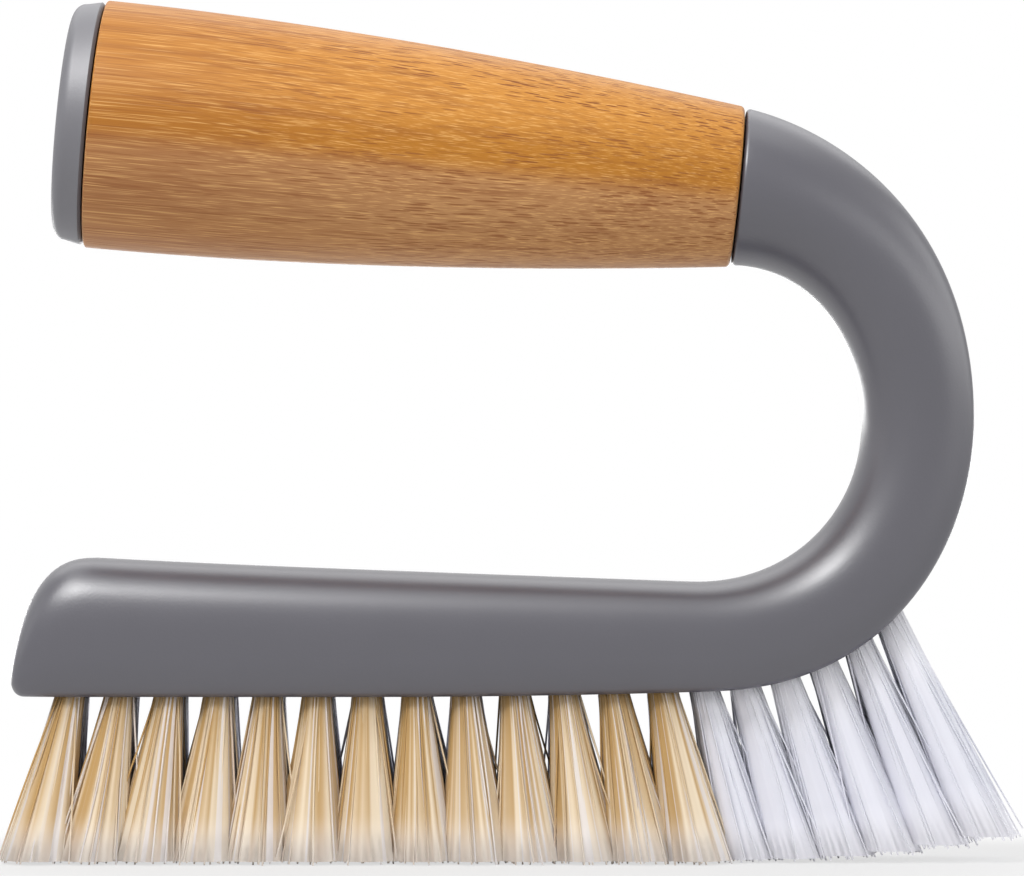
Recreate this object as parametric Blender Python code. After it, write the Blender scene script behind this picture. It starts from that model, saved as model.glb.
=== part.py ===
"""Grout brush: a bristle block with a U-shaped arm and a turned bamboo grip.

The side view lies in the XZ plane, the bristle tips rest on z = 0 and the arm
bends round at the +X end. All sizes are in metres.
"""
import math

import bmesh
import bpy
from mathutils import Matrix, Vector

# Fit between pieces that seat in or against one another
CLEARANCE = 0.0003

# Bristle block
BLOCK_UNDERSIDE = 0.0269
BLOCK_HALF_WIDTH = 0.0125
BLOCK_DEPTH_AT_TOE = 0.0223
BLOCK_DEPTH_AT_BEND = 0.0184
TOP_SAG = 0.0004
TOP_SAG_POWER = 4
TOE_LENGTH = 0.0135
TOE_FACE_HEIGHT = 0.0022
TOE_EDGE_RADIUS = 0.0021
TOE_HALF_WIDTH = 0.0065
TOE_SIDE_POWER = 0.74
TOE_TOP_POWER = 1.14
TOE_PLAN_POWER = 0.6
LAND_EDGE_WIDTH = 0.0025
BLOCK_SIDE_FRACTION = 0.30
SECTION_POWER = 2.3

# Tufts on the flat of the block: columns along it, three rows across it
BLOCK_COLUMNS = 13
BLOCK_PITCH = 0.008
FIRST_COLUMN = 0.0095
BLOCK_ROWS = (("front", -1), ("middle", 0), ("back", 1))
BLOCK_ROW_PITCH = 0.007
BLOCK_TIP_PITCH = 0.0090
BLOCK_TIP_ROW_PITCH = 0.0088
UPRIGHT_COLUMN = 6
BLOCK_HOLE_DEPTH = 0.009

# Tufts on the bend: columns up the land, two rows across it
BEND_COLUMNS = 6
BEND_TUFT_START = 0.0068
BEND_PITCH = 0.00666
BEND_ROWS = (("front", -1), ("back", 1))
BEND_ROW_HALF_PITCH = 0.00375
BEND_TIP_START = 0.0078
BEND_TIP_PITCH = 0.0079
BEND_TIP_ROW_HALF_PITCH = 0.0046
BEND_TIP_RISE = 0.0035
BEND_HOLE_DEPTH = 0.008

# Tuft roots and their anchors
ROOT_RADIUS = 0.00235
ROOT_SIDES = 8
BLOCK_ROOT_RECESS = 0.0006
BEND_ROOT_RECESS = 0.0009
ANCHOR_THICKNESS = 0.0006
ANCHOR_HEIGHT = 0.0014
ANCHOR_FROM_FLOOR = 0.0016
ANCHOR_BITE = 0.0003

# Strands: ring radius and strand radius at the root and at the tip
STRAND_SIDES = 3
STRAND_SINK = 0.001
BLOCK_OUTER_STRANDS = 7
BLOCK_INNER_STRANDS = 1
BLOCK_RING_AT_ROOT = 0.00158
BLOCK_RING_AT_TIP = 0.0033
BLOCK_STRAND_AT_ROOT = 0.00058
BLOCK_STRAND_AT_TIP = 0.00085
BEND_OUTER_STRANDS = 9
BEND_INNER_STRANDS = 3
BEND_RING_AT_ROOT = 0.00168
BEND_RING_AT_TIP = 0.0031
BEND_STRAND_AT_ROOT = 0.00046
BEND_STRAND_AT_TIP = 0.00062
INNER_RING_SHARE = 0.36
TURN_PER_TUFT = 2.399963

# Arm: the bend from the block up to the collar
LAND_FLAT_LENGTH = 0.0564
LAND_AFTER_COLUMNS = 0.0085
LAND_RISE = 0.00092
BEND_REACH = 0.0418
BEND_MID_HEIGHT = 0.0449
ARM_THICKNESS = 0.0178
INNER_START_OFFSET = -0.004
INNER_MID_DROP = 0.0008
ARM_HALF_WIDTH = 0.0108
ARM_LAND_HALF_WIDTH = 0.0076
ARM_SIDE_FRACTION = 0.36
OUTER_LOW_FULLNESS = (0.685, 0.430)
OUTER_HIGH_FULLNESS = (0.628, 0.334)
INNER_LOW_FULLNESS = (0.623, 0.546)
INNER_HIGH_FULLNESS = (0.499, 0.626)
OUTER_FLARE = math.radians(8.4)
INNER_FLARE = math.radians(-2.9)
BLOCK_RINGS = 6
BEND_RINGS = 14

# Collar and spigot at the top of the arm
JOINT_OFFSET = 0.0040
JOINT_HEIGHT = 0.0827
HANDLE_TILT = math.radians(5.6)
COLLAR_RADIUS = 0.0128
COLLAR_ROUNDING = 0.0007
SPIGOT_RADIUS = 0.006
SPIGOT_TIP_RADIUS = 0.0055
SPIGOT_LENGTH = 0.052
SPIGOT_CHAMFER = 0.001

# Bamboo handle
HANDLE_LENGTH = 0.1049
HANDLE_CAP_RADIUS = 0.0202
HANDLE_STEP_OVER_COLLAR = 0.0003
TAPER_POWER = 1.8
HANDLE_JOINT_ROUNDING = 0.0008
HANDLE_CAP_CHAMFER = 0.0004
HANDLE_STEPS = 12

# End cap
CAP_STEP_UNDER_HANDLE = 0.0004
CAP_RIM_CHAMFER = 0.0005
CAP_SIDE_LENGTH = 0.0029
CAP_TAPER = 0.0005
CAP_CORNER_LENGTH = 0.0021
CAP_CORNER_DEPTH = 0.0025
CAP_PLUG_RADIUS = 0.0093
CAP_PLUG_LENGTH = 0.0083
CAP_PLUG_CHAMFER = 0.0006

# Screw and washer that hold the handle
SCREW_RADIUS = 0.00225
SCREW_LENGTH = 0.060
SCREW_POINT = 0.003
HEAD_RADIUS = 0.0042
HEAD_HEIGHT = 0.0036
HEAD_DOME = 0.0012
HEAD_SHOULDER_RADIUS = 0.0032
HEAD_SHOULDER_DROP = 0.0004
HEAD_FLAT_RADIUS = 0.0017
RECESS_LENGTH = 0.0048
RECESS_WIDTH = 0.0009
RECESS_DEPTH = 0.0018
WASHER_RADIUS = 0.006
WASHER_THICKNESS = 0.0012
HEAD_TO_PLUG = 0.0026

# Facet counts of the round pieces
TURNED_SIDES = 44
SCREW_SIDES = 20
SECTION_LOWER_STEPS = 5
SECTION_UPPER_STEPS = 8
TOE_RINGS = 9
CORNER_STEPS = 4
COLLAR_STEPS = 3
CURVE_STEPS = 400
SMOOTH_ANGLE = math.radians(32.0)

# Colours as linear values
BODY_GREY = (0.125, 0.125, 0.138, 1.0)
CAP_GREY = (0.300, 0.300, 0.305, 1.0)
BAMBOO = (0.500, 0.262, 0.105, 1.0)
TAN = (0.600, 0.410, 0.205, 1.0)
WHITE = (0.680, 0.680, 0.740, 1.0)
STEEL = (0.550, 0.550, 0.560, 1.0)

# Places that follow from the sizes above
LAST_BLOCK_COLUMN = FIRST_COLUMN + (BLOCK_COLUMNS - 1) * BLOCK_PITCH
FIRST_BEND_COLUMN = LAST_BLOCK_COLUMN + BEND_TUFT_START
BEND_START = LAST_BLOCK_COLUMN + LAND_AFTER_COLUMNS
RISE_LENGTH = BEND_START - LAND_FLAT_LENGTH
BLOCK_TOP_AT_TOE = BLOCK_UNDERSIDE + BLOCK_DEPTH_AT_TOE
BLOCK_TOP_AT_BEND = BLOCK_UNDERSIDE + BLOCK_DEPTH_AT_BEND
JOINT = Vector((BEND_START + JOINT_OFFSET, 0.0, BLOCK_UNDERSIDE + JOINT_HEIGHT))
AXIS = Vector((-math.cos(HANDLE_TILT), 0.0, math.sin(HANDLE_TILT)))
UPWARD = Vector((math.sin(HANDLE_TILT), 0.0, math.cos(HANDLE_TILT)))
COLLAR_FACE_RADIUS = COLLAR_RADIUS - COLLAR_ROUNDING
HANDLE_JOINT_RADIUS = COLLAR_RADIUS + HANDLE_STEP_OVER_COLLAR
CAP_RIM_RADIUS = HANDLE_CAP_RADIUS - CAP_STEP_UNDER_HANDLE
HANDLE_START = CLEARANCE
HANDLE_END = HANDLE_START + HANDLE_LENGTH
CAP_START = HANDLE_END + CLEARANCE
CAP_FACE = CAP_START + CAP_SIDE_LENGTH + CAP_CORNER_LENGTH
PLUG_END = CAP_START - CAP_PLUG_LENGTH
HEAD_TOP = PLUG_END - HEAD_TO_PLUG
HEAD_SEAT = HEAD_TOP - HEAD_HEIGHT
WASHER_TOP = HEAD_SEAT - CLEARANCE
WASHER_SEAT = WASHER_TOP - WASHER_THICKNESS
COUNTERBORE_FLOOR = WASHER_SEAT - CLEARANCE
SCREW_END = HEAD_SEAT - SCREW_LENGTH


def make_material(name, colour, roughness, metallic):
    """Return a Principled material with the given constants."""
    material = bpy.data.materials.new(name)
    material.use_nodes = True
    shader = material.node_tree.nodes["Principled BSDF"]
    shader.inputs["Base Color"].default_value = colour
    shader.inputs["Roughness"].default_value = roughness
    shader.inputs["Metallic"].default_value = metallic
    return material


def make_object(name, bm, material, smooth=True):
    """Turn a bmesh into a named object with one material."""
    bmesh.ops.recalc_face_normals(bm, faces=bm.faces[:])
    mesh = bpy.data.meshes.new(name)
    bm.to_mesh(mesh)
    bm.free()
    mesh.materials.append(material)
    item = bpy.data.objects.new(name, mesh)
    bpy.context.scene.collection.objects.link(item)
    if smooth:
        mesh.shade_smooth()
        mesh.set_sharp_from_angle(angle=SMOOTH_ANGLE)
    return item


def combine(target, tool, operation):
    """Apply an exact Boolean of tool to target and remove the tool."""
    tool.hide_render = True
    tool.display_type = "WIRE"
    modifier = target.modifiers.new("combine", "BOOLEAN")
    modifier.operation = operation
    modifier.solver = "EXACT"
    modifier.object = tool
    graph = bpy.context.evaluated_depsgraph_get()
    result = bpy.data.meshes.new_from_object(target.evaluated_get(graph))
    target.modifiers.clear()
    target.data = result
    bpy.data.objects.remove(tool, do_unlink=True)


def reshade(item):
    """Shade an object smooth again after its Booleans."""
    item.data.shade_smooth()
    item.data.set_sharp_from_angle(angle=SMOOTH_ANGLE)


def axis_matrix(origin, direction, side=Vector((0.0, 1.0, 0.0))):
    """Return a frame at origin whose Z runs along direction."""
    z = direction.normalized()
    x = side.cross(z).normalized()
    y = z.cross(x)
    rotation = Matrix((x, y, z)).transposed().to_4x4()
    return Matrix.Translation(origin) @ rotation


def corner(centre, radius, start, end, steps):
    """Return points on a circular arc from angle start to end."""
    turns = [start + (end - start) * i / steps for i in range(steps + 1)]
    return [(centre[0] + radius * math.cos(a), centre[1] + radius * math.sin(a)) for a in turns]


def turned(outline, closed, sides):
    """Spin an outline of (radius, height) points about the Z axis."""
    bm = bmesh.new()
    points = [bm.verts.new((radius, 0.0, height)) for radius, height in outline]
    edges = [bm.edges.new(pair) for pair in zip(points, points[1:])]
    if closed:
        edges.append(bm.edges.new((points[-1], points[0])))
    bmesh.ops.spin(
        bm, geom=points + edges, cent=(0, 0, 0), axis=(0, 0, 1),
        angle=2 * math.pi, steps=sides, use_merge=True, use_duplicate=False)
    bmesh.ops.remove_doubles(bm, verts=bm.verts[:], dist=1e-7)
    return bm


def bend_points(start, start_way, end, end_way, fullness):
    """Return the four control points of one quarter of the bend."""
    span = end - start
    first = abs(span.dot(start_way)) * fullness[0]
    second = abs(span.dot(end_way)) * fullness[1]
    return (start, start + start_way * first, end - end_way * second, end)


def on_curve(points, t):
    """Return the point of a cubic curve at parameter t."""
    a, b, c, d = points
    u = 1.0 - t
    return a * u ** 3 + b * (3 * u * u * t) + c * (3 * u * t * t) + d * t ** 3


def land_point(along):
    """Return the underside's middle at a distance from the toe, up to the bend."""
    share = max(along - LAND_FLAT_LENGTH, 0.0) / RISE_LENGTH
    return Vector((along, 0.0, BLOCK_UNDERSIDE + LAND_RISE * share ** 2))


def side_curves():
    """Return the lower and upper halves of the outer and inner outlines."""
    along = Vector((RISE_LENGTH, 0.0, 2 * LAND_RISE)).normalized()
    up = Vector((0.0, 0.0, 1.0))
    back = JOINT - AXIS * COLLAR_ROUNDING
    outer_start = land_point(BEND_START)
    outer_mid = Vector((BEND_START + BEND_REACH, 0.0, BLOCK_UNDERSIDE + BEND_MID_HEIGHT))
    outer_end = back + UPWARD * COLLAR_RADIUS
    outer_way = Matrix.Rotation(OUTER_FLARE, 3, "Y") @ AXIS
    inner_start = Vector((BEND_START + INNER_START_OFFSET, 0.0, BLOCK_TOP_AT_BEND))
    inner_mid = outer_mid - Vector((ARM_THICKNESS, 0.0, INNER_MID_DROP))
    inner_end = back - UPWARD * COLLAR_RADIUS
    inner_way = Matrix.Rotation(INNER_FLARE, 3, "Y") @ AXIS
    slope = Vector((inner_start.x - TOE_LENGTH, 0.0, BLOCK_TOP_AT_BEND - BLOCK_TOP_AT_TOE))
    return (
        bend_points(outer_start, along, outer_mid, up, OUTER_LOW_FULLNESS),
        bend_points(outer_mid, up, outer_end, outer_way, OUTER_HIGH_FULLNESS),
        bend_points(inner_start, slope.normalized(), inner_mid, up, INNER_LOW_FULLNESS),
        bend_points(inner_mid, up, inner_end, inner_way, INNER_HIGH_FULLNESS))


def section_points(half_width, land, side_fraction):
    """Return half of a flat-bottomed section as (width, height) from 0 to 1."""
    edge = land / half_width
    points = []
    for i in range(SECTION_LOWER_STEPS):
        turn = math.pi / 2 * i / SECTION_LOWER_STEPS
        points.append((edge + (1 - edge) * math.sin(turn), side_fraction * (1 - math.cos(turn))))
    for i in range(SECTION_UPPER_STEPS + 1):
        turn = math.pi / 2 * i / SECTION_UPPER_STEPS
        width = max(math.cos(turn), 0.0) ** (2 / SECTION_POWER)
        height = math.sin(turn) ** (2 / SECTION_POWER)
        points.append((width, side_fraction + (1 - side_fraction) * height))
    return points


def ring_points(outer, inner, half_width, land, side_fraction, roundness):
    """Return one closed ring of the body between its outer and inner points."""
    half = section_points(half_width, land, side_fraction)
    count = 2 * len(half) - 1
    ring = []
    for i, (width, height) in enumerate(half):
        turn = 2 * math.pi * (i + 0.5) / count
        width += (math.sin(turn) - width) * roundness
        height += ((1 - math.cos(turn)) / 2 - height) * roundness
        ring.append((width * half_width, height))
    mirrored = [(-width, height) for width, height in reversed(ring[:-1])]
    side = Vector((0.0, 1.0, 0.0))
    return [outer.lerp(inner, height) + side * width for width, height in ring + mirrored]


def ease(t):
    """Blend smoothly from 0 to 1."""
    return t * t * (3 - 2 * t)


def body_rings():
    """Return the rings of the moulding from the toe to the collar's face."""
    outer_low, outer_high, inner_low, inner_high = side_curves()
    land = BLOCK_HALF_WIDTH - LAND_EDGE_WIDTH
    rings = []
    face_top = BLOCK_UNDERSIDE + TOE_FACE_HEIGHT
    for i in range(TOE_RINGS + 1):
        turn = math.pi / 2 * i / TOE_RINGS
        along = TOE_LENGTH * (1 - max(math.cos(turn), 0.0) ** TOE_SIDE_POWER)
        from_edge = max(TOE_EDGE_RADIUS - along, 0.0)
        lift = TOE_EDGE_RADIUS - math.sqrt(TOE_EDGE_RADIUS ** 2 - from_edge ** 2)
        top = face_top + (BLOCK_TOP_AT_TOE - face_top) * math.sin(turn) ** TOE_TOP_POWER
        width = TOE_HALF_WIDTH
        width += (BLOCK_HALF_WIDTH - TOE_HALF_WIDTH) * math.sin(turn) ** TOE_PLAN_POWER
        outer = Vector((along, 0.0, BLOCK_UNDERSIDE + lift))
        inner = Vector((along, 0.0, top))
        rings.append(ring_points(
            outer, inner, width, width - LAND_EDGE_WIDTH, BLOCK_SIDE_FRACTION, 0.0))
    top_at_toe = Vector((TOE_LENGTH, 0.0, BLOCK_TOP_AT_TOE))
    for i in range(1, BLOCK_RINGS):
        t = i / BLOCK_RINGS
        inner = top_at_toe.lerp(inner_low[0], t)
        inner.z -= TOP_SAG * (1 - (1 - t) ** TOP_SAG_POWER) * (1 - t)
        rings.append(ring_points(
            land_point(TOE_LENGTH + (BEND_START - TOE_LENGTH) * t), inner,
            BLOCK_HALF_WIDTH, land, BLOCK_SIDE_FRACTION, 0.0))
    for i in range(BEND_RINGS + 1):
        t = i / BEND_RINGS
        share = ease(t)
        rings.append(ring_points(
            on_curve(outer_low, t), on_curve(inner_low, t),
            BLOCK_HALF_WIDTH + (ARM_HALF_WIDTH - BLOCK_HALF_WIDTH) * share,
            land + (ARM_LAND_HALF_WIDTH - land) * share,
            BLOCK_SIDE_FRACTION + (ARM_SIDE_FRACTION - BLOCK_SIDE_FRACTION) * share, 0.0))
    for i in range(1, BEND_RINGS + 1):
        t = i / BEND_RINGS
        share = ease(t)
        rings.append(ring_points(
            on_curve(outer_high, t), on_curve(inner_high, t),
            ARM_HALF_WIDTH + (COLLAR_RADIUS - ARM_HALF_WIDTH) * share,
            ARM_LAND_HALF_WIDTH, ARM_SIDE_FRACTION, share))
    edge = (COLLAR_FACE_RADIUS, -COLLAR_ROUNDING)
    for radius, place in corner(edge, COLLAR_ROUNDING, 0.0, math.pi / 2, COLLAR_STEPS)[1:]:
        centre = JOINT + AXIS * place
        rings.append(ring_points(
            centre + UPWARD * radius, centre - UPWARD * radius, radius, radius / 2, 0.5, 1.0))
    return rings


def draw_spigot(bm, face):
    """Inset the collar's end face and draw the tapered spigot out of it."""
    bmesh.ops.inset_region(
        bm, faces=[face], thickness=COLLAR_FACE_RADIUS - SPIGOT_RADIUS, use_even_offset=False)
    radius = SPIGOT_RADIUS
    reached = 0.0
    for next_radius, place in (
            (SPIGOT_TIP_RADIUS, SPIGOT_LENGTH - SPIGOT_CHAMFER),
            (SPIGOT_TIP_RADIUS - SPIGOT_CHAMFER, SPIGOT_LENGTH)):
        face = bmesh.ops.extrude_discrete_faces(bm, faces=[face])["faces"][0]
        share = next_radius / radius
        bmesh.ops.translate(bm, verts=face.verts[:], vec=AXIS * (place - reached))
        bmesh.ops.scale(
            bm, verts=face.verts[:], vec=(share, share, share),
            space=Matrix.Translation(-(JOINT + AXIS * place)))
        radius = next_radius
        reached = place


def make_body(material, cutters):
    """Loft the moulding through its rings and cut its holes."""
    bm = bmesh.new()
    loops = []
    for points in body_rings():
        verts = [bm.verts.new(point) for point in points]
        loops.append([bm.edges.new(pair) for pair in zip(verts, verts[1:] + verts[:1])])
    for first, second in zip(loops, loops[1:]):
        bmesh.ops.bridge_loops(bm, edges=first + second)
    bmesh.ops.contextual_create(bm, geom=loops[0])
    draw_spigot(bm, bmesh.ops.contextual_create(bm, geom=loops[-1])["faces"][0])
    body = make_object("brush_body", bm, material)
    for cutter in cutters:
        combine(body, cutter, "DIFFERENCE")
    reshade(body)
    return body


def handle_radius(place):
    """Return the grip's radius at a distance from the joint."""
    share = (HANDLE_END - place) / HANDLE_LENGTH
    return HANDLE_CAP_RADIUS - (HANDLE_CAP_RADIUS - HANDLE_JOINT_RADIUS) * share ** TAPER_POWER


def make_handle(material):
    """Turn the grip with its stepped bore."""
    rounding = HANDLE_JOINT_ROUNDING
    radius = handle_radius(HANDLE_START + rounding)
    outline = corner(
        (radius - rounding, HANDLE_START + rounding), rounding, -math.pi / 2, 0.0, CORNER_STEPS)
    first = HANDLE_START + rounding
    last = HANDLE_END - HANDLE_CAP_CHAMFER
    for i in range(1, HANDLE_STEPS + 1):
        place = first + (last - first) * i / HANDLE_STEPS
        outline.append((handle_radius(place), place))
    shoulder = SPIGOT_LENGTH + CLEARANCE
    screw_bore = SCREW_RADIUS + CLEARANCE
    outline += [
        (HANDLE_CAP_RADIUS - HANDLE_CAP_CHAMFER, HANDLE_END),
        (CAP_PLUG_RADIUS + CLEARANCE, HANDLE_END),
        (CAP_PLUG_RADIUS + CLEARANCE, COUNTERBORE_FLOOR),
        (screw_bore, COUNTERBORE_FLOOR),
        (screw_bore, shoulder),
        (SPIGOT_TIP_RADIUS + CLEARANCE, shoulder),
        (SPIGOT_RADIUS + CLEARANCE, HANDLE_START)]
    bm = turned(outline, True, TURNED_SIDES)
    bm.transform(axis_matrix(JOINT, AXIS))
    return make_object("bamboo_handle", bm, material)


def make_cap(material):
    """Turn the end cap with its plug."""
    corner_radius = CAP_RIM_RADIUS - CAP_TAPER
    steps = CORNER_STEPS + 2
    turns = [math.pi / 2 * i / steps for i in range(steps + 1)]
    outline = [
        (0.0, PLUG_END),
        (CAP_PLUG_RADIUS - CAP_PLUG_CHAMFER, PLUG_END),
        (CAP_PLUG_RADIUS, PLUG_END + CAP_PLUG_CHAMFER),
        (CAP_PLUG_RADIUS, CAP_START),
        (CAP_RIM_RADIUS - CAP_RIM_CHAMFER, CAP_START),
        (CAP_RIM_RADIUS, CAP_START + CAP_RIM_CHAMFER)]
    outline += [
        (corner_radius - CAP_CORNER_DEPTH * (1 - math.cos(a)),
         CAP_FACE - CAP_CORNER_LENGTH * (1 - math.sin(a)))
        for a in turns]
    outline.append((0.0, CAP_FACE))
    bm = turned(outline, False, TURNED_SIDES)
    bm.transform(axis_matrix(JOINT, AXIS))
    return make_object("end_cap", bm, material)


def make_screw(material):
    """Turn the screw and cut the cross recess in its head."""
    outline = [
        (0.0, SCREW_END),
        (SCREW_RADIUS, SCREW_END + SCREW_POINT),
        (SCREW_RADIUS, HEAD_SEAT),
        (HEAD_RADIUS, HEAD_SEAT),
        (HEAD_RADIUS, HEAD_TOP - HEAD_DOME),
        (HEAD_SHOULDER_RADIUS, HEAD_TOP - HEAD_SHOULDER_DROP),
        (HEAD_FLAT_RADIUS, HEAD_TOP),
        (0.0, HEAD_TOP)]
    bm = turned(outline, False, SCREW_SIDES)
    screw = make_object("handle_screw", bm, material)
    for length, width in ((RECESS_LENGTH, RECESS_WIDTH), (RECESS_WIDTH, RECESS_LENGTH)):
        bm = bmesh.new()
        place = Matrix.Translation((0.0, 0.0, HEAD_TOP))
        place = place @ Matrix.Diagonal((length, width, 2 * RECESS_DEPTH, 1.0))
        bmesh.ops.create_cube(bm, size=1.0, matrix=place)
        combine(screw, make_object("recess", bm, material, smooth=False), "DIFFERENCE")
    screw.data.transform(axis_matrix(JOINT, AXIS))
    reshade(screw)
    return screw


def make_washer(material):
    """Turn the washer under the screw head."""
    inside = SCREW_RADIUS + CLEARANCE
    outline = [
        (inside, WASHER_SEAT),
        (WASHER_RADIUS, WASHER_SEAT),
        (WASHER_RADIUS, WASHER_TOP),
        (inside, WASHER_TOP)]
    bm = turned(outline, True, SCREW_SIDES)
    bm.transform(axis_matrix(JOINT, AXIS))
    return make_object("screw_washer", bm, material)


def screw_hole(material):
    """Return the cutter for the screw's hole in the spigot."""
    outline = [
        (0.0, SCREW_END - CLEARANCE),
        (SCREW_RADIUS + CLEARANCE, SCREW_END + SCREW_POINT - CLEARANCE),
        (SCREW_RADIUS + CLEARANCE, SPIGOT_LENGTH + CLEARANCE),
        (0.0, SPIGOT_LENGTH + CLEARANCE)]
    bm = turned(outline, False, SCREW_SIDES)
    bm.transform(axis_matrix(JOINT, AXIS))
    return make_object("screw_hole", bm, material, smooth=False)


def tuft_places():
    """Return the name, root, tip and kind of every tuft."""
    places = []
    for column in range(BLOCK_COLUMNS):
        for row, side in BLOCK_ROWS:
            along = FIRST_COLUMN + column * BLOCK_PITCH
            upright = FIRST_COLUMN + UPRIGHT_COLUMN * BLOCK_PITCH
            root = land_point(along) + Vector((0.0, side * BLOCK_ROW_PITCH, 0.0))
            tip = Vector((
                upright + (column - UPRIGHT_COLUMN) * BLOCK_TIP_PITCH,
                side * BLOCK_TIP_ROW_PITCH, 0.0))
            places.append((f"block_tuft_{column + 1:02d}_{row}", root, tip, "block"))
    outer_low = side_curves()[0]
    last_tip = upright + (BLOCK_COLUMNS - 1 - UPRIGHT_COLUMN) * BLOCK_TIP_PITCH
    for column in range(BEND_COLUMNS):
        along = FIRST_BEND_COLUMN + column * BEND_PITCH
        past_start = along - BEND_START
        on_land = land_point(along) if past_start < 0.0 else along_curve(outer_low, past_start)
        for row, side in BEND_ROWS:
            root = on_land + Vector((0.0, side * BEND_ROW_HALF_PITCH, 0.0))
            share = column / (BEND_COLUMNS - 1)
            tip = Vector((
                last_tip + BEND_TIP_START + column * BEND_TIP_PITCH,
                side * BEND_TIP_ROW_HALF_PITCH, BEND_TIP_RISE * share ** 2))
            places.append((f"bend_tuft_{column + 1:02d}_{row}", root, tip, "bend"))
    return places


def along_curve(points, distance):
    """Return the point at a distance along a cubic curve."""
    steps = CURVE_STEPS
    travelled = 0.0
    before = points[0]
    for i in range(1, steps + 1):
        after = on_curve(points, i / steps)
        step = (after - before).length
        if travelled + step >= distance:
            return before.lerp(after, (distance - travelled) / step)
        travelled += step
        before = after
    return before


def anchor_box(bm, frame, depth, gap):
    """Add the box of an anchor, or of the slot round it, to a bmesh."""
    length = 2 * (ROOT_RADIUS + CLEARANCE + ANCHOR_BITE)
    size = (ANCHOR_THICKNESS + 2 * gap, length, ANCHOR_HEIGHT + 2 * gap, 1.0)
    place = frame @ Matrix.Translation((0.0, 0.0, ANCHOR_FROM_FLOOR - depth))
    bmesh.ops.create_cube(bm, size=1.0, matrix=place @ Matrix.Diagonal(size))


def hole_cutter(places, material):
    """Return one cutter with every tuft hole, less the anchors across them."""
    holes = bmesh.new()
    anchors = bmesh.new()
    for _name, root, tip, kind in places:
        depth = BLOCK_HOLE_DEPTH if kind == "block" else BEND_HOLE_DEPTH
        frame = axis_matrix(root, tip - root)
        length = depth + 2 * ROOT_RADIUS
        middle = Matrix.Translation((0.0, 0.0, length / 2 - depth))
        bmesh.ops.create_cone(
            holes, cap_ends=True, segments=ROOT_SIDES, radius1=ROOT_RADIUS + CLEARANCE,
            radius2=ROOT_RADIUS + CLEARANCE, depth=length, matrix=frame @ middle)
        anchor_box(anchors, frame, depth, 0.0)
    cutter = make_object("tuft_holes", holes, material, smooth=False)
    combine(cutter, make_object("anchors", anchors, material, smooth=False), "DIFFERENCE")
    return cutter


def strand_spots(outer_count, inner_count, turn):
    """Return unit offsets of a tuft's strands, ring first."""
    spots = []
    for i in range(outer_count):
        angle = turn + 2 * math.pi * i / outer_count
        spots.append((math.cos(angle), math.sin(angle)))
    share = INNER_RING_SHARE if inner_count > 1 else 0.0
    for i in range(inner_count):
        angle = turn + math.pi / outer_count + 2 * math.pi * i / inner_count
        spots.append((share * math.cos(angle), share * math.sin(angle)))
    return spots


def make_tuft(place, number, material):
    """Build one tuft: its root with the anchor slot and its strands."""
    name, root, tip, kind = place
    if kind == "block":
        counts = (BLOCK_OUTER_STRANDS, BLOCK_INNER_STRANDS)
        rings = (BLOCK_RING_AT_ROOT, BLOCK_RING_AT_TIP)
        sizes = (BLOCK_STRAND_AT_ROOT, BLOCK_STRAND_AT_TIP)
        depth = BLOCK_HOLE_DEPTH
        recess = BLOCK_ROOT_RECESS
    else:
        counts = (BEND_OUTER_STRANDS, BEND_INNER_STRANDS)
        rings = (BEND_RING_AT_ROOT, BEND_RING_AT_TIP)
        sizes = (BEND_STRAND_AT_ROOT, BEND_STRAND_AT_TIP)
        depth = BEND_HOLE_DEPTH
        recess = BEND_ROOT_RECESS
    frame = axis_matrix(root, tip - root)
    floor = CLEARANCE - depth
    bm = bmesh.new()
    middle = Matrix.Translation((0.0, 0.0, (floor - recess) / 2))
    bmesh.ops.create_cone(
        bm, cap_ends=True, segments=ROOT_SIDES, radius1=ROOT_RADIUS, radius2=ROOT_RADIUS,
        depth=-recess - floor, matrix=frame @ middle)
    tuft = make_object(name, bm, material, smooth=False)
    bm = bmesh.new()
    anchor_box(bm, frame, depth, CLEARANCE)
    combine(tuft, make_object("slot", bm, material, smooth=False), "DIFFERENCE")
    bm = bmesh.new()
    turn = frame.to_3x3()
    for along, across in strand_spots(counts[0], counts[1], number * TURN_PER_TUFT):
        spread = turn @ Vector((along, across, 0.0))
        base = frame.translation + spread * rings[0]
        base -= turn.col[2] * (recess + STRAND_SINK)
        end = tip + Vector((spread.x, spread.y, 0.0)) * rings[1]
        made = bmesh.ops.create_cone(
            bm, cap_ends=True, segments=STRAND_SIDES, radius1=1.0, radius2=1.0, depth=2.0)
        for vert in made["verts"]:
            offset = turn @ Vector((vert.co.x, vert.co.y, 0.0))
            level = Vector((offset.x, offset.y, 0.0))
            if vert.co.z < 0.0:
                vert.co = base + level * sizes[0]
            else:
                vert.co = end + level * sizes[1]
    combine(tuft, make_object("strands", bm, material, smooth=False), "UNION")
    return tuft


def centre_along_x(items):
    """Move everything so that the part is centred on x = 0."""
    xs = [vert.co.x for item in items for vert in item.data.vertices]
    shift = Matrix.Translation((-(min(xs) + max(xs)) / 2, 0.0, 0.0))
    for item in items:
        item.data.transform(shift)


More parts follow.
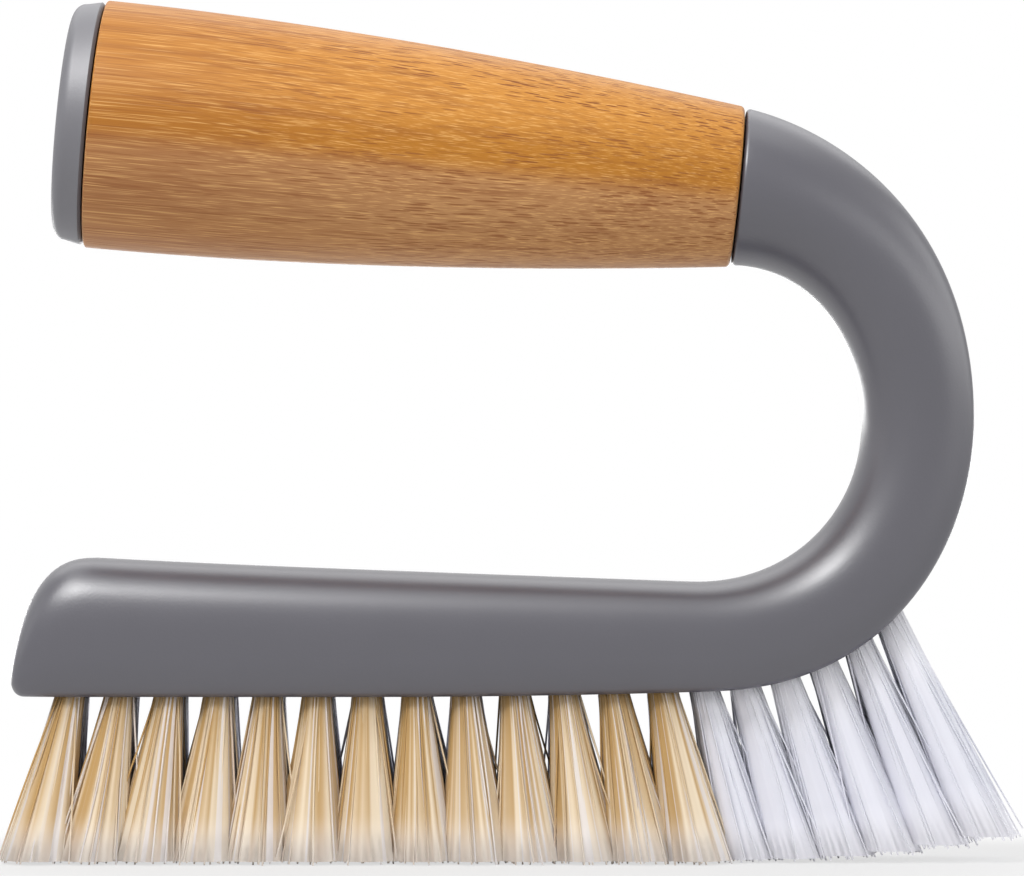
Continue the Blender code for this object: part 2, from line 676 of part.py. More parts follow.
def main():
    """Build every piece of the brush."""
    for item in list(bpy.data.objects):
        bpy.data.objects.remove(item, do_unlink=True)
    body_grey = make_material("body_grey", BODY_GREY, 0.5, 0.0)
    cap_grey = make_material("cap_grey", CAP_GREY, 0.45, 0.0)
    bamboo = make_material("bamboo", BAMBOO, 0.4, 0.0)
    tan = make_material("tan_bristle", TAN, 0.6, 0.0)
    white = make_material("white_bristle", WHITE, 0.5, 0.0)
    steel = make_material("steel", STEEL, 0.35, 1.0)
    places = tuft_places()
    cutters = [hole_cutter(places, body_grey), screw_hole(body_grey)]
    items = [
        make_body(body_grey, cutters),
        make_handle(bamboo),
        make_cap(cap_grey),
        make_screw(steel),
        make_washer(steel)]
    for number, place in enumerate(places):
        is_tan = place[3] == "block" and not place[0].endswith("back")
        items.append(make_tuft(place, number, tan if is_tan else white))
    centre_along_x(items)


main()
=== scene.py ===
"""Grout brush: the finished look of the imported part.

Laid out as an add-on and run as a script. The side view lies in the XZ plane,
the bristle tips rest on z = 0 and the arm bends round at the +X end.
"""

import math

import bmesh
import bpy
import numpy as np
from mathutils import Matrix, Vector


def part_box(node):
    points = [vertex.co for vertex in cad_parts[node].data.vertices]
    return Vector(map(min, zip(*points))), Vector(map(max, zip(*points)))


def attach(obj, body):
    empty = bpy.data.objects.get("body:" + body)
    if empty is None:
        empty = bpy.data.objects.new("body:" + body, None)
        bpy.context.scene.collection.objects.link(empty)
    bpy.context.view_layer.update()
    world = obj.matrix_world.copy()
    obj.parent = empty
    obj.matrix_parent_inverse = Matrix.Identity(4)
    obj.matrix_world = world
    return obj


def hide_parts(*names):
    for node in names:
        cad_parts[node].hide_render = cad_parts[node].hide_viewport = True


bl_info = {
    "name": "Grout brush",
    "version": (1, 0, 0),
    "blender": (4, 5, 0),
    "location": "3D View > Sidebar > Grout brush",
    "description": "Builds the looks of a grout brush round its packed solids",
    "category": "Object",
}

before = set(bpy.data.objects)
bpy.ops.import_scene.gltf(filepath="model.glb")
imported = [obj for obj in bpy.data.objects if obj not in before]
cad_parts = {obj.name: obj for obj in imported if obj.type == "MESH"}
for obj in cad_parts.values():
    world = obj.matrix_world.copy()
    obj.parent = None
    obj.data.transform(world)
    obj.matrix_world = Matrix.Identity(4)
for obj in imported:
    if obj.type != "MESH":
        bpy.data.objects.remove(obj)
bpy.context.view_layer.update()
TOE_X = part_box("brush_body")[0][0]
BODY = "root"
SEED = 4177

SIDEWAYS = Vector((0.0, 1.0, 0.0))

# Block and its toe
BLOCK_DEPTH_AT_TOE = 0.0223
BLOCK_DEPTH_AT_BEND = 0.0184
TOP_SAG = 0.0004
TOP_SAG_POWER = 4
TOE_LENGTH = 0.0135
TOE_FACE_HEIGHT = 0.0022
TOE_EDGE_RADIUS = 0.0021
TOE_HALF_WIDTH = 0.0065
TOE_SIDE_POWER = 0.74
TOE_TOP_POWER = 1.14
TOE_PLAN_POWER = 0.6
LAND_EDGE_WIDTH = 0.0025
BLOCK_SIDE_FRACTION = 0.30
BLOCK_SECTION_POWER = 2.9
ARM_SECTION_POWER = 2.3

# Arm and collar
BEND_START = 0.114
LAND_FLAT_LENGTH = 0.0564
LAND_RISE = 0.00092
BEND_REACH = 0.0418
BEND_MID_HEIGHT = 0.0449
ARM_THICKNESS = 0.0178
INNER_START_OFFSET = -0.004
INNER_MID_DROP = 0.0008
ARM_HALF_WIDTH = 0.0108
ARM_LAND_HALF_WIDTH = 0.0076
ARM_SIDE_FRACTION = 0.36
OUTER_LOW_FULLNESS = (0.685, 0.430)
OUTER_HIGH_FULLNESS = (0.628, 0.334)
INNER_LOW_FULLNESS = (0.623, 0.546)
INNER_HIGH_FULLNESS = (0.499, 0.626)
OUTER_FLARE = math.radians(8.4)
INNER_FLARE = math.radians(-2.9)
JOINT_OFFSET = 0.0040
JOINT_HEIGHT = 0.0827
HANDLE_TILT = math.radians(5.6)
COLLAR_RADIUS = 0.0128
COLLAR_ROUNDING = 0.0007
SPIGOT_RADIUS = 0.006
SPIGOT_TIP_RADIUS = 0.0055
SPIGOT_LENGTH = 0.052
SPIGOT_CHAMFER = 0.001
AXIS = Vector((-math.cos(HANDLE_TILT), 0.0, math.sin(HANDLE_TILT)))
UPWARD = Vector((math.sin(HANDLE_TILT), 0.0, math.cos(HANDLE_TILT)))

# Grip and end cap, along the axis from the joint
CLEARANCE = 0.0003
HANDLE_LENGTH = 0.1049
TAPER_POWER = 1.8
HANDLE_JOINT_ROUNDING = 0.0008
HANDLE_CAP_CHAMFER = 0.0004
HANDLE_CAP_ARC_START = math.pi / 16
COUNTERBORE_FLOOR = 0.0892
SCREW_BORE = 0.00255
CAP_SIDE_LENGTH = 0.0029
CAP_TAPER = 0.0005
CAP_RIM_CHAMFER = 0.0005
CAP_RIM_EASE = 0.00005
CAP_CORNER_LENGTH = 0.0021
CAP_CORNER_DEPTH = 0.0025
CAP_PLUG_RADIUS = 0.0093
CAP_PLUG_LENGTH = 0.0083
CAP_PLUG_ROUNDING = 0.0006

# Tufts on the block and on the bend
BLOCK_COLUMNS = 13
BLOCK_PITCH = 0.008
FIRST_COLUMN = 0.0095
BLOCK_ROWS = (("front", -1), ("middle", 0), ("back", 1))
BLOCK_ROW_PITCH = 0.007
UPRIGHT_COLUMN = 6
BEND_COLUMNS = 6
FIRST_BEND_COLUMN = 0.1123
BEND_PITCH = 0.00666
BEND_ROWS = (("front", -1), ("back", 1))
BEND_ROW_HALF_PITCH = 0.00375
BEND_TIP_START = 0.0084
BEND_TIP_PITCH = 0.0078
BEND_TIP_ROW_HALF_PITCH = 0.0046
BEND_TIP_RISE = 0.0035
ROOT_DEPTH = 0.002

# Filaments: how they fan out and scatter at the root, at the tip and in length
FAN_POWER = 1.15
GOLDEN_TURN = 2.399963
ROOT_DISC_POWER = 0.18
ROOT_SCATTER = 0.035
TIP_REACH = 0.97
TIP_REACH_SCATTER = 0.08
TIP_SCATTER = 0.09
BOW_SCATTER = 0.00022
LENGTH_SCATTER = 0.0006
STRAY_SHARE = 0.16
STRAY_REACH = 0.0035
FILAMENT_TAPER = 0.75

# Bundle inside each tuft: ridges and grooves as shares of the tuft's radius
BUNDLE_FLUTES = 26
BUNDLE_END = 0.98
BUNDLE_RIDGE = 0.98
BUNDLE_GROOVE = 0.93
BUNDLE_SCATTER = 0.03
FLUTE_SCATTER = 0.25
BUNDLE_END_TONES = (0.4, 0.4)
BUNDLE_END_KINDS = (0.5, 0.5)

# Looks of the rows: share and strength of clear filaments, painted shadow at the root, block's
# slot
ROW_LOOKS = (
    ("front", 0.22, 0.50, 0.45, "tan_bristle"),
    ("middle", 0.75, 1.0, 0.0, "tan_bristle"),
    ("back", 1.3, 1.0, 0.0, "white_bristle"))
BEND_LOOK = (1.3, 1.0, 0.0)
WHITE_SHADE = (0.64, 0.63, 0.72)
SHADOW_SHADE = 0.58
STREAK_SCALE = (3000.0, 3000.0, 450.0)

# Where tones change along a filament, from 0 at the root to 1 at the tip: the painted shadow at
# the tan root, the tan tips' paling, partly painted light, and the painted light at both ends of
# the white
ROOT_PAINTED_SHADOW_REACH = (0.42, 0.0)
TAN_TIP_REACH = (0.70, 1.0)
WHITE_ROOT_PAINTED_LIGHT_REACH = (0.02, 0.45)
WHITE_TIP_PAINTED_LIGHT_REACH = (0.72, 1.0)

# Bamboo seams: height over the axis at the joint, its change along the axis, half the fade
TOP_SEAM = (0.0073, 0.092, 0.0004)
LOW_SEAM = (-0.0020, -0.004, 0.0022)
BAMBOO_GLINT = (0.80, 0.48, 0.18)

# Bamboo tones: where the golden top, partly painted light from above, fades and the cap's end
# darkens, and the cells' edges
GOLDEN_FADE = (0.009, 0.001)
CAPWARD = (0.045, 0.100)
DASH_EDGE = (0.38, 0.28)
GLINT_EDGE = (0.24, 0.12)
GLINT_SHIFT = 0.37

# Bamboo grain along the grip, up it and across it: features per metre, metres of wander
WANDER_SCALE = (14.0, 60.0, 60.0)
STRIP_SCALE = (8.0, 620.0, 620.0)
THREAD_SCALE = (34.0, 4600.0, 4600.0)
CROWD_SCALE = (30.0, 330.0, 420.0)
CELL_SCALE = (46.0, 2500.0, 2500.0)
WANDER = (0.0, 0.0016, 0.0016)
GRAIN_DEPTH = 0.00005

# Mouldings: roughness, darkest and lightest shade of the grey, mottling and sparked texture
MOULDING_ROUGHNESS = 0.30
CAP_ROUGHNESS = 0.42
MOULDING_SHADES = (0.86, 1.12)
MOTTLE_SCALE = 60.0
SPARK_SCALE = 2600.0
SPARK_DEPTH = 0.00004

# Steel of the fixings
STEEL_SHADES = ((0.45, 0.45, 0.46), (0.62, 0.62, 0.63))
STEEL_MARK_SCALE = 900.0
STEEL_MARK_DEPTH = 0.00002

# Facet counts and shading
SECTION_LOWER_STEPS = 10
SECTION_UPPER_STEPS = 20
TOE_RINGS = 24
BLOCK_RINGS = 30
BEND_RINGS = 40
TURNED_SIDES = 128
HANDLE_STEPS = 40
ROUNDING_STEPS = 8
FILAMENT_SIDES = 4
FILAMENT_STEPS = 5
CURVE_STEPS = 400
MERGE_DISTANCE = 1e-7
SMOOTH_DEGREES = 30.0
CAP_SMOOTH_DEGREES = 40.0

# Light and floor: box name, direction, distance, width, height, watts
OBJECT_MIDDLE = (0.0, 0.0, 0.06)
SOFT_BOXES = (
    ("key_box", (-0.13, -0.23, 0.27), 0.378, 0.10, 0.10, 0.45),
    ("front_box", (-0.25, -0.25, 0.44), 0.55, 0.25, 0.25, 1.3),
    ("high_box", (-0.15, -0.28, 0.55), 0.60, 0.50, 0.28, 0.40),
    ("top_box", (0.0, 0.05, 0.94), 0.94, 1.0, 0.6, 1.9),
    ("back_box", (0.0, 0.60, 0.69), 0.9, 1.2, 0.5, 2.2),
    ("left_box", (-0.90, -0.05, 0.36), 0.97, 0.6, 0.6, 0.5),
    ("right_box", (0.90, -0.05, 0.36), 0.97, 0.6, 0.6, 2.0),
    ("corner_box", (0.70, -0.60, 0.26), 0.90, 0.6, 0.25, 1.2),
    ("rear_box", (0.0, 0.95, -0.04), 0.45, 0.7, 0.05, 0.8))
WORLD_LIGHT = (1.0, 1.0, 1.02)
WORLD_LEVEL = 0.34
WHITE = (1.0, 1.0, 1.0)
FLOOR_LIT = (0.90, 0.90, 0.91)
FLOOR_SEEN = (0.46, 0.46, 0.46)
FLOOR_VEIL = 0.65
FLOOR_FADE = (0.10, 0.20)
FLOOR_STRETCH = (1.0, 2.5, 0.0)
FLOOR_HALF_WIDTH = 6.0

# Photograph's frame and camera
IMAGE_WIDTH = 1024
MILLIMETRE_PER_PIXEL = 0.163
SENSOR = 36.0
CAMERA_DISTANCE = 0.98
CAMERA_FROM_TOE = 0.08105
CAMERA_HEIGHT = 0.0687
NEAREST_SEEN = 0.01


class BrushSizes(bpy.types.PropertyGroup):
    """Sizes that a user would change."""

    underside: bpy.props.FloatProperty(
        name="Block underside", description="Height of the bristle land above the tips",
        default=0.0269, min=0.01, unit="LENGTH")
    half_width: bpy.props.FloatProperty(
        name="Block half width", description="Half of the block's width",
        default=0.0125, min=0.011, unit="LENGTH")
    cap_radius: bpy.props.FloatProperty(
        name="Cap radius", description="Radius of the end cap's rim",
        default=0.0198, min=0.012, unit="LENGTH")
    grip_radius: bpy.props.FloatProperty(
        name="Grip radius", description="Radius of the grip beside the cap",
        default=0.0202, min=0.012, unit="LENGTH")
    grip_joint_radius: bpy.props.FloatProperty(
        name="Grip joint radius", description="Radius of the grip beside the arm",
        default=0.0131, min=0.01, unit="LENGTH")
    root_radius: bpy.props.FloatProperty(
        name="Root radius", description="Radius of a tuft where it leaves its hole",
        default=0.00216, min=0.001, unit="LENGTH")
    block_tip_radius: bpy.props.FloatProperty(
        name="Block tuft spread", description="Radius of a block tuft at its tips",
        default=0.0062, min=0.001, unit="LENGTH")
    bend_tip_radius: bpy.props.FloatProperty(
        name="Bend tuft spread", description="Radius of a bend tuft at its tips",
        default=0.0053, min=0.001, unit="LENGTH")
    block_tip_pitch: bpy.props.FloatProperty(
        name="Tip pitch", description="Distance between tuft tips along the block",
        default=0.0089, min=0.001, unit="LENGTH")
    block_tip_row_pitch: bpy.props.FloatProperty(
        name="Tip row pitch", description="Distance between tuft tips across the block",
        default=0.0086, min=0.001, unit="LENGTH")
    filament_radius: bpy.props.FloatProperty(
        name="Filament radius", description="Radius of one filament at its root",
        default=0.00018, min=0.00005, unit="LENGTH")
    block_filaments: bpy.props.IntProperty(
        name="Block filaments", description="Filaments in each tuft on the block",
        default=46, min=10)
    bend_filaments: bpy.props.IntProperty(
        name="Bend filaments", description="Filaments in each tuft on the bend",
        default=56, min=10)


class BrushColours(bpy.types.PropertyGroup):
    """Colours that a user would change."""

    moulding: bpy.props.FloatVectorProperty(
        name="Moulding", description="Grey of the block and the arm",
        default=(0.058, 0.056, 0.070), subtype="COLOR", size=3, min=0, max=1)
    # The cap's grey is the moulding's grey painted lighter, as if the cap caught more light.
    cap: bpy.props.FloatVectorProperty(
        name="End cap", description="Grey of the end cap",
        default=(0.098, 0.096, 0.108), subtype="COLOR", size=3, min=0, max=1)
    # Painted light: the golden top is partly the bamboo's lighter upper layer, partly painted
    # lighter as if lit from above.
    bamboo_top_painted_light: bpy.props.FloatVectorProperty(
        name="Bamboo light", description="Golden upper layers of the bamboo",
        default=(0.485, 0.210, 0.038), subtype="COLOR", size=3, min=0, max=1)
    bamboo_mid: bpy.props.FloatVectorProperty(
        name="Bamboo middle", description="Deep golden middle of the bamboo",
        default=(0.380, 0.152, 0.019), subtype="COLOR", size=3, min=0, max=1)
    bamboo_dark: bpy.props.FloatVectorProperty(
        name="Bamboo dark", description="Browner lower layer of the bamboo",
        default=(0.395, 0.196, 0.075), subtype="COLOR", size=3, min=0, max=1)
    fibre: bpy.props.FloatVectorProperty(
        name="Bamboo fibre", description="Fibre bundles that show as dark dashes",
        default=(0.200, 0.062, 0.016), subtype="COLOR", size=3, min=0, max=1)
    tan_deep: bpy.props.FloatVectorProperty(
        name="Deep tan", description="Golden filaments",
        default=(0.455, 0.280, 0.105), subtype="COLOR", size=3, min=0, max=1)
    tan_pale: bpy.props.FloatVectorProperty(
        name="Pale tan", description="Cream filaments",
        default=(0.770, 0.650, 0.480), subtype="COLOR", size=3, min=0, max=1)
    # Painted light: white filaments are painted lighter near the block and at their tips, where
    # the bristles stand in shade.
    white_painted_light: bpy.props.FloatVectorProperty(
        name="White ends", description="White filaments near the block and at their tips",
        default=(0.960, 0.955, 0.990), subtype="COLOR", size=3, min=0, max=1)
    white_middle: bpy.props.FloatVectorProperty(
        name="White middle", description="White filaments halfway down",
        default=(0.730, 0.735, 0.795), subtype="COLOR", size=3, min=0, max=1)


class Wire:
    """A value or colour socket that takes part in arithmetic."""

    def __init__(self, finish, socket):
        self.finish = finish
        self.socket = socket

    def _math(self, operation, *values):
        return self.finish.node("ShaderNodeMath", {"operation": operation}, list(values))

    def __add__(self, other):
        return self._math("ADD", self, other)

    def __radd__(self, other):
        return self._math("ADD", other, self)

    def __sub__(self, other):
        return self._math("SUBTRACT", self, other)

    def __rsub__(self, other):
        return self._math("SUBTRACT", other, self)

    def __mul__(self, other):
        return self._math("MULTIPLY", self, other)

    def __rmul__(self, other):
        return self._math("MULTIPLY", other, self)

    def __pow__(self, other):
        return self._math("POWER", self, other)

    def __rpow__(self, other):
        return self._math("POWER", other, self)

    def clamped(self):
        """Return the value held between 0 and 1."""
        return self.finish.node(
            "ShaderNodeMath", {"operation": "ADD", "use_clamp": True}, [self, 0.0])


class Finish:
    """One material under construction."""

    def __init__(self, name, **constants):
        self.material = bpy.data.materials.new(name)
        self.material.use_nodes = True
        self.tree = self.material.node_tree
        self.shader = self.tree.nodes["Principled BSDF"]
        for socket, value in constants.items():
            self.shader.inputs[socket.replace("_", " ")].default_value = value

    def node(self, kind, settings=None, values=None, output=0):
        """Add a node: settings first, then values or links by name or place."""
        made = self.tree.nodes.new(kind)
        for key, value in (settings or {}).items():
            setattr(made, key, value)
        pairs = values.items() if isinstance(values, dict) else enumerate(values or [])
        for key, value in pairs:
            self.feed(self._socket(made.inputs, key), value)
        return Wire(self, self._socket(made.outputs, output))

    @staticmethod
    def _socket(sockets, key):
        if isinstance(key, int):
            return sockets[key]
        for socket in sockets:
            if socket.identifier == key:
                return socket
        return sockets[key]

    def feed(self, socket, value):
        """Link or set one input."""
        if isinstance(value, Wire):
            self.tree.links.new(value.socket, socket)
        else:
            socket.default_value = value

    def mix(self, factor, first, second):
        """Blend two colours."""
        return self.node(
            "ShaderNodeMix", {"data_type": "RGBA"},
            {"Factor_Float": factor, "A_Color": opaque(first), "B_Color": opaque(second)},
            "Result_Color")

    def scale(self, vector, factors):
        """Multiply a vector by three factors."""
        return self.node(
            "ShaderNodeVectorMath", {"operation": "MULTIPLY"}, [vector, Vector(factors)], "Vector")

    def shift(self, vector, way):
        """Add two vectors."""
        return self.node("ShaderNodeVectorMath", {"operation": "ADD"}, [vector, way], "Vector")

    def noise(self, vector, scale=1.0, roughness=0.5):
        """Return a noise value from 0 to 1."""
        return self.node(
            "ShaderNodeTexNoise", {},
            {"Vector": vector, "Scale": scale, "Detail": 2.0, "Roughness": roughness})

    def between(self, value, low, high):
        """Return how far a value has gone from low to high, held to 0 and 1."""
        return self.node(
            "ShaderNodeMapRange", {"interpolation_type": "SMOOTHSTEP"},
            {"Value": value, "From Min": low, "From Max": high})

    def attribute(self, name, output="Fac"):
        """Return a mesh attribute."""
        return self.node("ShaderNodeAttribute", {"attribute_name": name}, None, output)

    def place(self):
        """Return the object's own coordinates."""
        return self.node("ShaderNodeTexCoord", {}, None, "Object")

    def bump(self, height, distance, strength):
        """Give the shader a bump from a height value."""
        normal = self.node(
            "ShaderNodeBump", {},
            {"Height": height, "Distance": distance, "Strength": strength}, "Normal")
        self.feed(self.shader.inputs["Normal"], normal)

    def put(self, socket, value):
        """Feed one of the shader's own inputs."""
        self.feed(self.shader.inputs[socket], value)


def opaque(colour):
    """Return a colour with its alpha, or a wire as it is."""
    return colour if isinstance(colour, Wire) else (*colour, 1.0)


def sizes():
    """Return the sizes set in the panel."""
    return bpy.context.scene.brush_sizes


def colours():
    """Return the colours set in the panel."""
    return bpy.context.scene.brush_colours


def moulding_finish(name, colour, roughness):
    """Satin moulded plastic with a fine sparked texture."""
    finish = Finish(name, Specular_IOR_Level=1.0)
    spot = finish.place()
    broad = finish.noise(spot, MOTTLE_SCALE)
    fine = finish.noise(spot, SPARK_SCALE)
    dark = [part * MOULDING_SHADES[0] for part in colour]
    light = [part * MOULDING_SHADES[1] for part in colour]
    finish.put("Base Color", finish.mix(0.2 + broad * 0.4 + fine * 0.2, dark, light))
    finish.put("Roughness", roughness + broad * 0.05 + fine * 0.05)
    finish.bump(fine, SPARK_DEPTH, 0.35)
    return finish.material


def bamboo_finish(name):
    """Laminated bamboo: three layers of fibre bundles that the turning cuts into dashes."""
    tint = colours()
    finish = Finish(name, Specular_IOR_Level=0.18)
    grain = finish.attribute("grain", "Vector")
    along, up = [
        finish.node("ShaderNodeSeparateXYZ", {}, [grain], axis) for axis in "XY"]
    wander = finish.noise(finish.scale(grain, WANDER_SCALE))
    shifted = finish.shift(grain, finish.scale(wander, WANDER))
    height, slope, fade = TOP_SEAM
    top_layer = finish.between(up - along * slope - height, -fade, fade)
    height, slope, fade = LOW_SEAM
    low_layer = finish.between(up - along * slope - height, fade, -fade)
    strips = finish.noise(finish.scale(shifted, STRIP_SCALE))
    threads = finish.noise(finish.scale(shifted, THREAD_SCALE), roughness=0.6)
    density = finish.noise(finish.scale(shifted, CROWD_SCALE))
    crowd = density + top_layer * 0.10 + low_layer * 0.04
    dashes = finish.between(fibre_cells(finish, shifted, 0.0), *DASH_EDGE)
    dashes = dashes * finish.between(crowd, 0.40, 0.56)
    glints = finish.between(fibre_cells(finish, shifted, GLINT_SHIFT), *GLINT_EDGE)
    glints = glints * finish.between(density, 0.60, 0.40)
    capward = finish.between(along, *CAPWARD)
    # The grip is painted lighter towards its top: partly its lighter upper layer, partly painted
    # light from above.
    body = finish.mix(finish.between(up, *GOLDEN_FADE), tint.bamboo_top_painted_light, tint.bamboo_mid)
    for share, colour in (
            (low_layer, tint.bamboo_dark),
            (capward * 0.34, tint.fibre),
            (finish.between(strips, 0.48, 0.72) * 0.42, tint.fibre),
            (finish.between(threads, 0.50, 0.72) * 0.34, tint.fibre),
            (finish.between(threads, 0.48, 0.30) * 0.36, BAMBOO_GLINT),
            (glints * 0.40, BAMBOO_GLINT)):
        body = finish.mix(share, body, colour)
    finish.put("Base Color", finish.mix(
        dashes * (0.72 + top_layer * 0.22) * (1.0 - capward * 0.45), body, tint.fibre))
    finish.put("Roughness", 0.40 + threads * 0.10 + dashes * 0.10)
    finish.bump(threads * 0.5 - dashes, GRAIN_DEPTH, 0.30)
    return finish.material


def fibre_cells(finish, grain, shift):
    """Return the distance to the middle of the nearest fibre bundle."""
    placed = finish.shift(finish.scale(grain, CELL_SCALE), Vector((shift, shift, shift)))
    return finish.node(
        "ShaderNodeTexVoronoi", {"feature": "F1"}, {"Vector": placed, "Scale": 1.0}, "Distance")


def bristle_finish(name, clear_share, clear_strength, root_painted_shadow):
    """Filaments with a tone each: tan ones carry painted shadow at the root and pale towards the
    tip, partly with painted light; white ones carry painted light near the block and at the tip.
    """
    tint = colours()
    finish = Finish(name, Specular_IOR_Level=0.3)
    tone = finish.attribute("tone")
    reach = finish.attribute("reach")
    kind = finish.attribute("kind")
    lean = finish.attribute("lean")
    # Tan filaments pale towards the tip: partly their own paler ends, partly painted light against
    # the shade near the floor.
    share = tone * 0.95 + reach ** 1.6 * 0.42 + lean * 0.15
    tan = finish.mix(finish.between(share, 0.10, 1.25), tint.tan_deep, tint.tan_pale)
    shadow = [part * SHADOW_SHADE for part in tint.tan_deep]
    # Painted shadow: tan filaments are darkened near the root, where the block's edge and the
    # neighbouring tufts shade them.
    tan = finish.mix(finish.between(reach, *ROOT_PAINTED_SHADOW_REACH) * root_painted_shadow, tan, shadow)
    # Tan tips are mixed further towards white: partly their paler ends, partly painted light.
    tan = finish.mix(finish.between(reach, *TAN_TIP_REACH) * 0.45, tan, tint.white_painted_light)
    # White filaments are painted lighter near the block and at their tips, against the shade that
    # falls there.
    white = finish.mix(
        finish.between(reach, *WHITE_ROOT_PAINTED_LIGHT_REACH), tint.white_painted_light, tint.white_middle)
    white = finish.mix(finish.between(reach, *WHITE_TIP_PAINTED_LIGHT_REACH) * 0.9, white, tint.white_painted_light)
    white = finish.mix(tone * 0.22, white, WHITE_SHADE)
    is_clear = finish.between(kind - lean * 0.12, clear_share + 0.04, clear_share - 0.04)
    finish.put("Base Color", finish.mix(is_clear * clear_strength, tan, white))
    streak = finish.noise(finish.scale(finish.place(), STREAK_SCALE))
    finish.put("Roughness", 0.40 + streak * 0.15)
    return finish.material


def steel_finish(name):
    """Plain steel with fine turning marks."""
    finish = Finish(name, Metallic=1.0)
    marks = finish.noise(finish.place(), STEEL_MARK_SCALE)
    finish.put("Base Color", finish.mix(marks, *STEEL_SHADES))
    finish.put("Roughness", 0.28 + marks * 0.14)
    finish.bump(marks, STEEL_MARK_DEPTH, 0.3)
    return finish.material


def blend(first, second, share):
    """Return the value that lies a share of the way from first to second."""
    return first + (second - first) * share


def ease(t):
    """Blend smoothly from 0 to 1."""
    return t * t * (3 - 2 * t)


def quarter_turns(steps):
    """Return the angles from nothing to a right angle."""
    return [math.pi / 2 * i / steps for i in range(steps + 1)]


def middle_point(along, height):
    """Return a point in the middle plane by its distance from the toe and the underside."""
    return Vector((TOE_X + along, 0.0, sizes().underside + height))


def joint_point():
    """Return the middle of the collar's end face."""
    return middle_point(BEND_START + JOINT_OFFSET, JOINT_HEIGHT)


def handle_radius(place):
    """Return the grip's radius at a distance from the joint."""
    size = sizes()
    share = (CLEARANCE + HANDLE_LENGTH - place) / HANDLE_LENGTH
    return blend(size.grip_radius, size.grip_joint_radius, share ** TAPER_POWER)


def joint_matrix():
    """Return a frame at the joint whose Z runs along the grip."""
    z = AXIS.normalized()
    x = SIDEWAYS.cross(z).normalized()
    rotation = Matrix((x, z.cross(x).normalized(), z)).transposed().to_4x4()
    return Matrix.Translation(joint_point()) @ rotation


def place_mesh(name, mesh, bm, material):
    """Write a bmesh to a mesh, faces outward, and put it in the scene with one material."""
    bmesh.ops.recalc_face_normals(bm, faces=bm.faces[:])
    bm.to_mesh(mesh)
    bm.free()
    mesh.materials.append(material)
    item = bpy.data.objects.new(name, mesh)
    bpy.context.scene.collection.objects.link(item)
    mesh.shade_smooth()
    return item


def finish_object(name, bm, material, smooth_degrees=SMOOTH_DEGREES):
    """Turn a bmesh into an object whose edges above an angle are sharp."""
    item = place_mesh(name, bpy.data.meshes.new(name), bm, material)
    item.data.set_sharp_from_angle(angle=math.radians(smooth_degrees))
    return item


def dress(item, slot, *nodes):
    """Let a piece ride on the frame and stand for its solids."""
    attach(item, BODY)
    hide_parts(*nodes)


def bend_points(start, start_way, end, end_way, fullness):
    """Return the four control points of one quarter of the bend."""
    span = end - start
    first = abs(span.dot(start_way)) * fullness[0]
    second = abs(span.dot(end_way)) * fullness[1]
    return (start, start + start_way * first, end - end_way * second, end)


def on_curve(points, t):
    """Return the point of a cubic curve at parameter t."""
    a, b, c, d = points
    u = 1.0 - t
    return a * u ** 3 + b * (3 * u * u * t) + c * (3 * u * t * t) + d * t ** 3


def land_point(along):
    """Return the underside's middle at a distance from the toe, up to the bend."""
    share = max(along - LAND_FLAT_LENGTH, 0.0) / (BEND_START - LAND_FLAT_LENGTH)
    return middle_point(along, LAND_RISE * share ** 2)


def side_curves():
    """Return the lower and upper halves of the outer outline, then of the inner one."""
    along = Vector((BEND_START - LAND_FLAT_LENGTH, 0.0, 2 * LAND_RISE)).normalized()
    up = Vector((0.0, 0.0, 1.0))
    back = joint_point() - AXIS * COLLAR_ROUNDING
    outer_start = land_point(BEND_START)
    outer_mid = middle_point(BEND_START + BEND_REACH, BEND_MID_HEIGHT)
    outer_way = Matrix.Rotation(OUTER_FLARE, 3, "Y") @ AXIS
    inner_start = middle_point(BEND_START + INNER_START_OFFSET, BLOCK_DEPTH_AT_BEND)
    inner_mid = outer_mid - Vector((ARM_THICKNESS, 0.0, INNER_MID_DROP))
    inner_way = Matrix.Rotation(INNER_FLARE, 3, "Y") @ AXIS
    slope = Vector((
        BEND_START + INNER_START_OFFSET - TOE_LENGTH, 0.0,
        BLOCK_DEPTH_AT_BEND - BLOCK_DEPTH_AT_TOE))
    return (
        bend_points(outer_start, along, outer_mid, up, OUTER_LOW_FULLNESS),
        bend_points(outer_mid, up, back + UPWARD * COLLAR_RADIUS, outer_way, OUTER_HIGH_FULLNESS),
        bend_points(inner_start, slope.normalized(), inner_mid, up, INNER_LOW_FULLNESS),
        bend_points(inner_mid, up, back - UPWARD * COLLAR_RADIUS, inner_way, INNER_HIGH_FULLNESS))


def section_points(half_width, land, side_fraction, power):
    """Return half of a flat-bottomed section as (width, height) from 0 to 1."""
    edge = land / half_width
    points = []
    for turn in quarter_turns(SECTION_LOWER_STEPS)[:-1]:
        points.append((edge + (1 - edge) * math.sin(turn), side_fraction * (1 - math.cos(turn))))
    for turn in quarter_turns(SECTION_UPPER_STEPS):
        width = max(math.cos(turn), 0.0) ** (2 / power)
        height = math.sin(turn) ** (2 / power)
        points.append((width, side_fraction + (1 - side_fraction) * height))
    return points


